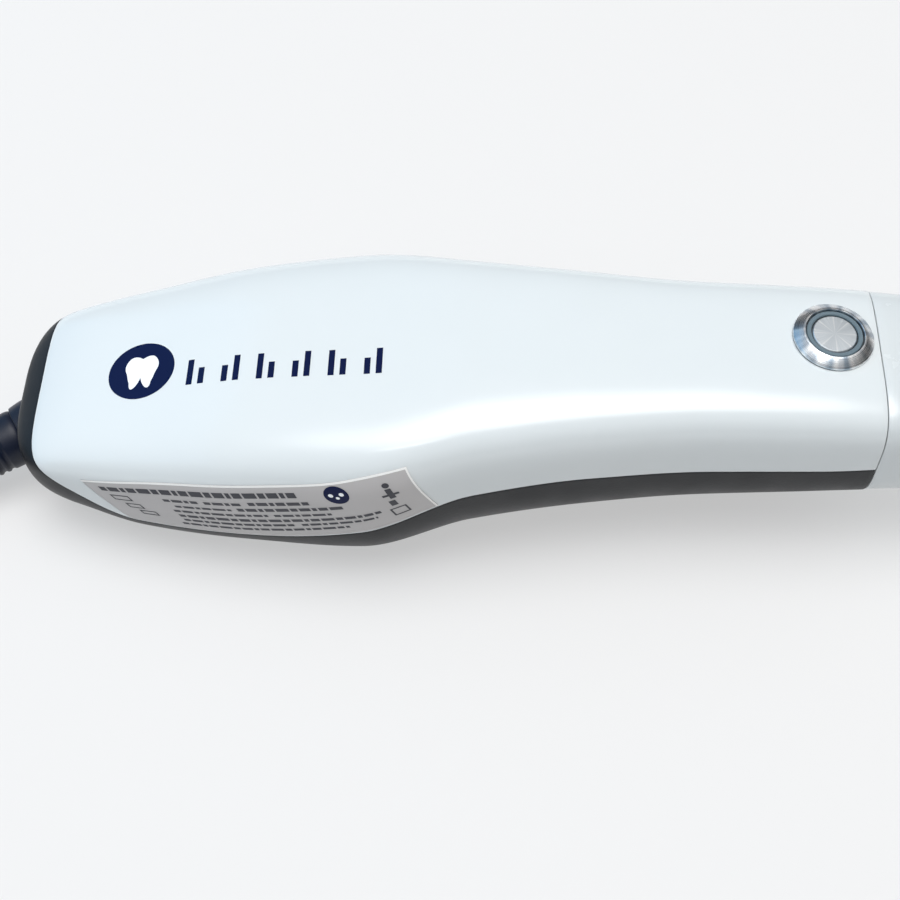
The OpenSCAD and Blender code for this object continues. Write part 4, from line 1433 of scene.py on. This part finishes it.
@dataclass
class UsbPlug:
    """A plain USB A plug: moulded grip, plated shell, tongue and contacts."""

    x: float = -246.0
    z: float = 24.1

    def build(self) -> list:
        """Builds the plug's pieces, and hands them back."""
        x, z = self.x, self.z
        grip = bmesh.new()
        rounded_box(grip, (x - 38.9, -8.1, z - 4.1), (x, 8.1, z + 4.1), 1.9, 5)
        turn = Matrix.Rotation(math.radians(90), 4, "Y")
        collar = Matrix.Translation(Vector((x - 1, 0, z)) * MM) @ turn
        sleeve = [(0, -1), (3.6, -1)]
        for rib in range(4):
            z_rib, outer, inner = 1.3 * rib, 3.5 - 0.16 * rib, 3.0 - 0.1 * rib
            sleeve += [(outer, z_rib), (outer, z_rib + 0.8), (inner, z_rib + 0.9)]
        lathe(grip, [*sleeve, (2.6, 6.6), (0, 6.6)], collar, 48)
        for side in (-1, 1):
            for number in range(5):
                spot = x - 10 - 3.2 * number
                low = (spot - 0.6, side * 8.1 - 0.35, z - 2.4)
                rounded_box(grip, low, (spot + 0.6, side * 8.1 + 0.35, z + 2.4), 0.3, 2)
        shape = new_object("plug_grip", grip)
        body = finish_piece(
            shape, Surface.PLUG_GRIP.value, "plug_overmould", HANDPIECE, "usb_plug_body"
        )
        shell = bmesh.new()
        rounded_box(shell, (x - 56, -6, z - 2.25), (x - 38.4, 6, z + 2.25), 0.5, 3)
        mouth = [f for f in shell.faces if f.normal.x < -0.9 and f.calc_area() > 2e-5]
        bmesh.ops.inset_region(shell, faces=mouth, thickness=0.0003, use_even_offset=True)
        pushed = bmesh.ops.extrude_discrete_faces(shell, faces=mouth)["faces"]
        bmesh.ops.translate(shell, vec=(0.015, 0, 0), verts=[v for f in pushed for v in f.verts])
        shape = new_object("plug_shell", shell)
        tube = finish_piece(
            shape, Surface.PLUG_STEEL.value, "plug_steel", HANDPIECE, "usb_plug_shell"
        )
        tongue = bmesh.new()
        rounded_box(tongue, (x - 55, -5.6, z - 1.9), (x - 41, 5.6, z - 0.1), 0.2, 2)
        inner = finish_piece(
            new_object("plug_tongue", tongue), Surface.PLUG_TONGUE.value, "plug_steel", HANDPIECE
        )
        contacts = bmesh.new()
        for y in (-3.5, -1.1, 1.1, 3.5):
            rounded_box(contacts, (x - 54.6, y - 0.5, z - 0.12), (x - 42, y + 0.5, z + 0.05), 0.04, 1)
        gold = finish_piece(
            new_object("plug_contacts", contacts), Surface.CONTACT_GOLD.value, "plug_steel", HANDPIECE
        )
        return [body, tube, inner, gold]


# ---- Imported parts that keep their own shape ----

INNER_PARTS = {
    Surface.SCREW_STEEL: ("cover_screws", "board_screws", "bench_screws", "clamp_screws", "button_washer"),
    Surface.SPRING_STEEL: ("button_spring", "tip_detents"),
    Surface.NUT_BRASS: ("button_nut",),
    Surface.BLACK_NYLON: ("button_base",),
    Surface.SEAL_RUBBER: ("button_seal", "window_gasket"),
    Surface.WIRE_COVER: ("button_wires",),
    Surface.SNOUT: ("nose_frame",),
    Surface.WINDOW: ("front_window",),
    Surface.BENCH: ("optical_bench",),
    Surface.BARREL: ("camera_lens_barrel", "projector_housing"),
    Surface.LENS: ("camera_lens", "projector_lens"),
    Surface.BOARD: ("camera_board", "main_board"),
    Surface.LED_BOARD: ("led_board",),
    Surface.SENSOR: ("image_sensor",),
    Surface.FLEX: ("camera_flex",),
    Surface.PHOSPHOR: ("projector_led",),
    Surface.SINK: ("heat_sink",),
    Surface.CHIP: ("board_chips",),
    Surface.NATURAL_NYLON: ("cable_header", "flex_header"),
    Surface.CORD_JACKET: ("inner_cable",),
    Surface.GREY_NYLON: ("cable_clamp", "mirror_cradle"),
    Surface.MIRROR: ("tip_mirror",),
}


def dress_packed_parts() -> None:
    """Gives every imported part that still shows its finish."""
    for surface, names in INNER_PARTS.items():
        for name in names:
            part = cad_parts[name]
            part.data.materials.clear()
            part.data.materials.append(surface.value.material())
            LOG.info("%s: %s", name, surface.value.name)


# ---- Camera, floor and light ----


@dataclass
class Studio:
    """A pale floor, soft light from above and the camera."""

    focal_mm: float = 63.43
    elevation: float = 56.65
    azimuth: float = 0.77
    roll: float = -0.84
    distance: float = 250.16
    target: tuple = (24.0, 0.0, 38.1)
    aside: tuple = (60.31, 17.29)
    # From z, to z, strength there: the pale horizon, the tent's walls, the bright crown over them
    horizon: tuple = (0.0, 0.06, 0.8, 0.0)
    walls: tuple = (0.35, 0.95, 0.02, 0.72)
    crown: tuple = (0.9, 1.0, 0.0, 8.0)

    def camera(self) -> None:
        """Makes the camera, aimed so that the target stands aside of the middle."""
        e, a, r = (math.radians(v) for v in (self.elevation, self.azimuth, self.roll))
        back = Vector((math.sin(a) * math.cos(e), -math.cos(a) * math.cos(e), math.sin(e)))
        right = Vector((math.cos(a), math.sin(a), 0))
        up = back.cross(right)
        right, up = (
            math.cos(r) * right - math.sin(r) * up,
            math.sin(r) * right + math.cos(r) * up,
        )
        spot = Vector(self.target) - self.aside[0] * right - self.aside[1] * up + self.distance * back
        lens = bpy.data.cameras.new("camera")
        lens.lens = self.focal_mm
        lens.sensor_width = 36
        lens.clip_start, lens.clip_end = 0.01, 20
        eye = bpy.data.objects.new("camera", lens)
        turn = Matrix((right, up, back)).transposed().to_4x4()
        eye.matrix_world = Matrix.Translation(spot * MM) @ turn
        bpy.context.scene.collection.objects.link(eye)
        bpy.context.scene.camera = eye

    def floor(self) -> None:
        """Lays the pale floor just under the belly."""
        made = bmesh.new()
        bmesh.ops.create_grid(made, x_segments=1, y_segments=1, size=6)
        bmesh.ops.translate(made, vec=(0, 0, -0.0002), verts=made.verts)
        sheet = new_object("floor", made)
        paper = Glowing(
            "pale_paper",
            "#9b9b9b",
            0.9,
            1.3,
            grain_mm=2.0,
            depth_mm=0.002,
            uneven=0.0,
            glow=0.49,
            glow_colour="#ffffff",
        )
        sheet.data.materials.append(paper.material())

    def area(
        self, name: str, spot: tuple, aim: tuple, size: tuple, power: float, colour: str = "#ffffff"
    ) -> None:
        """Adds one soft light, in metres and watts."""
        light = bpy.data.lights.new(name, "AREA")
        light.shape = "RECTANGLE"
        light.size, light.size_y = size
        light.energy = power
        light.color = linear(colour)[:3]
        lamp = bpy.data.objects.new(name, light)
        lamp.location = spot
        lamp.rotation_mode = "QUATERNION"
        lamp.rotation_quaternion = (Vector(aim) - Vector(spot)).to_track_quat("-Z", "Y")
        bpy.context.scene.collection.objects.link(lamp)

    def lights(self) -> None:
        """Adds the light tent: bright above and dimmer towards the horizon."""
        world = bpy.data.worlds.new("light_tent")
        bpy.context.scene.world = world
        world.use_nodes = True
        sky = world.node_tree.nodes["Background"]
        place = add_node(world, "ShaderNodeTexCoord").outputs["Generated"]
        height = add_node(world, "ShaderNodeSeparateXYZ", {"Vector": place}).outputs["Z"]
        total = 0.0
        for ends, kind in ((self.horizon, "LINEAR"), (self.walls, "LINEAR"), (self.crown, "SMOOTHSTEP")):
            names = ("From Min", "From Max", "To Min", "To Max")
            links = {"Value": height, **dict(zip(names, ends))}
            ramp = add_node(world, "ShaderNodeMapRange", links, interpolation_type=kind)
            links = {0: ramp.outputs["Result"], 1: total}
            total = add_node(world, "ShaderNodeMath", links, operation="ADD").outputs[0]
        world.node_tree.links.new(total, sky.inputs["Strength"])
        sky.inputs["Color"].default_value = linear("#ffffff")
        self.area("shoulder_strip", (-0.14, -0.25, 0.62), (-0.047, -0.018, 0.033), (0.14, 0.008), 0.15)
        self.area("cool_fill", (-0.6, 0.1, 0.3), (-0.11, 0, 0.02), (1.0, 0.6), 1.6, "#8cc4ec")

    def build(self) -> None:
        """Makes the camera, the floor and the lights."""
        scene = bpy.context.scene
        scene.view_settings.view_transform = "Standard"
        self.camera()
        self.floor()
        self.lights()


def main() -> None:
    """Builds the studio and every sub-assembly in order."""
    logging.basicConfig(level=logging.INFO, format="%(name)s: %(message)s")
    Studio().build()
    boot = CableBoot()
    plug = UsbPlug().build()
    strap = Tie().build()
    Lead(start_point=tuple(boot.end)).build([strap, *plug])
    boot.build()
    Covers().build()
    Label().build()
    Emblem().build()
    PushButton().build()
    ScanTip().build()
    dress_packed_parts()


if __name__ == "__main__":
    main()
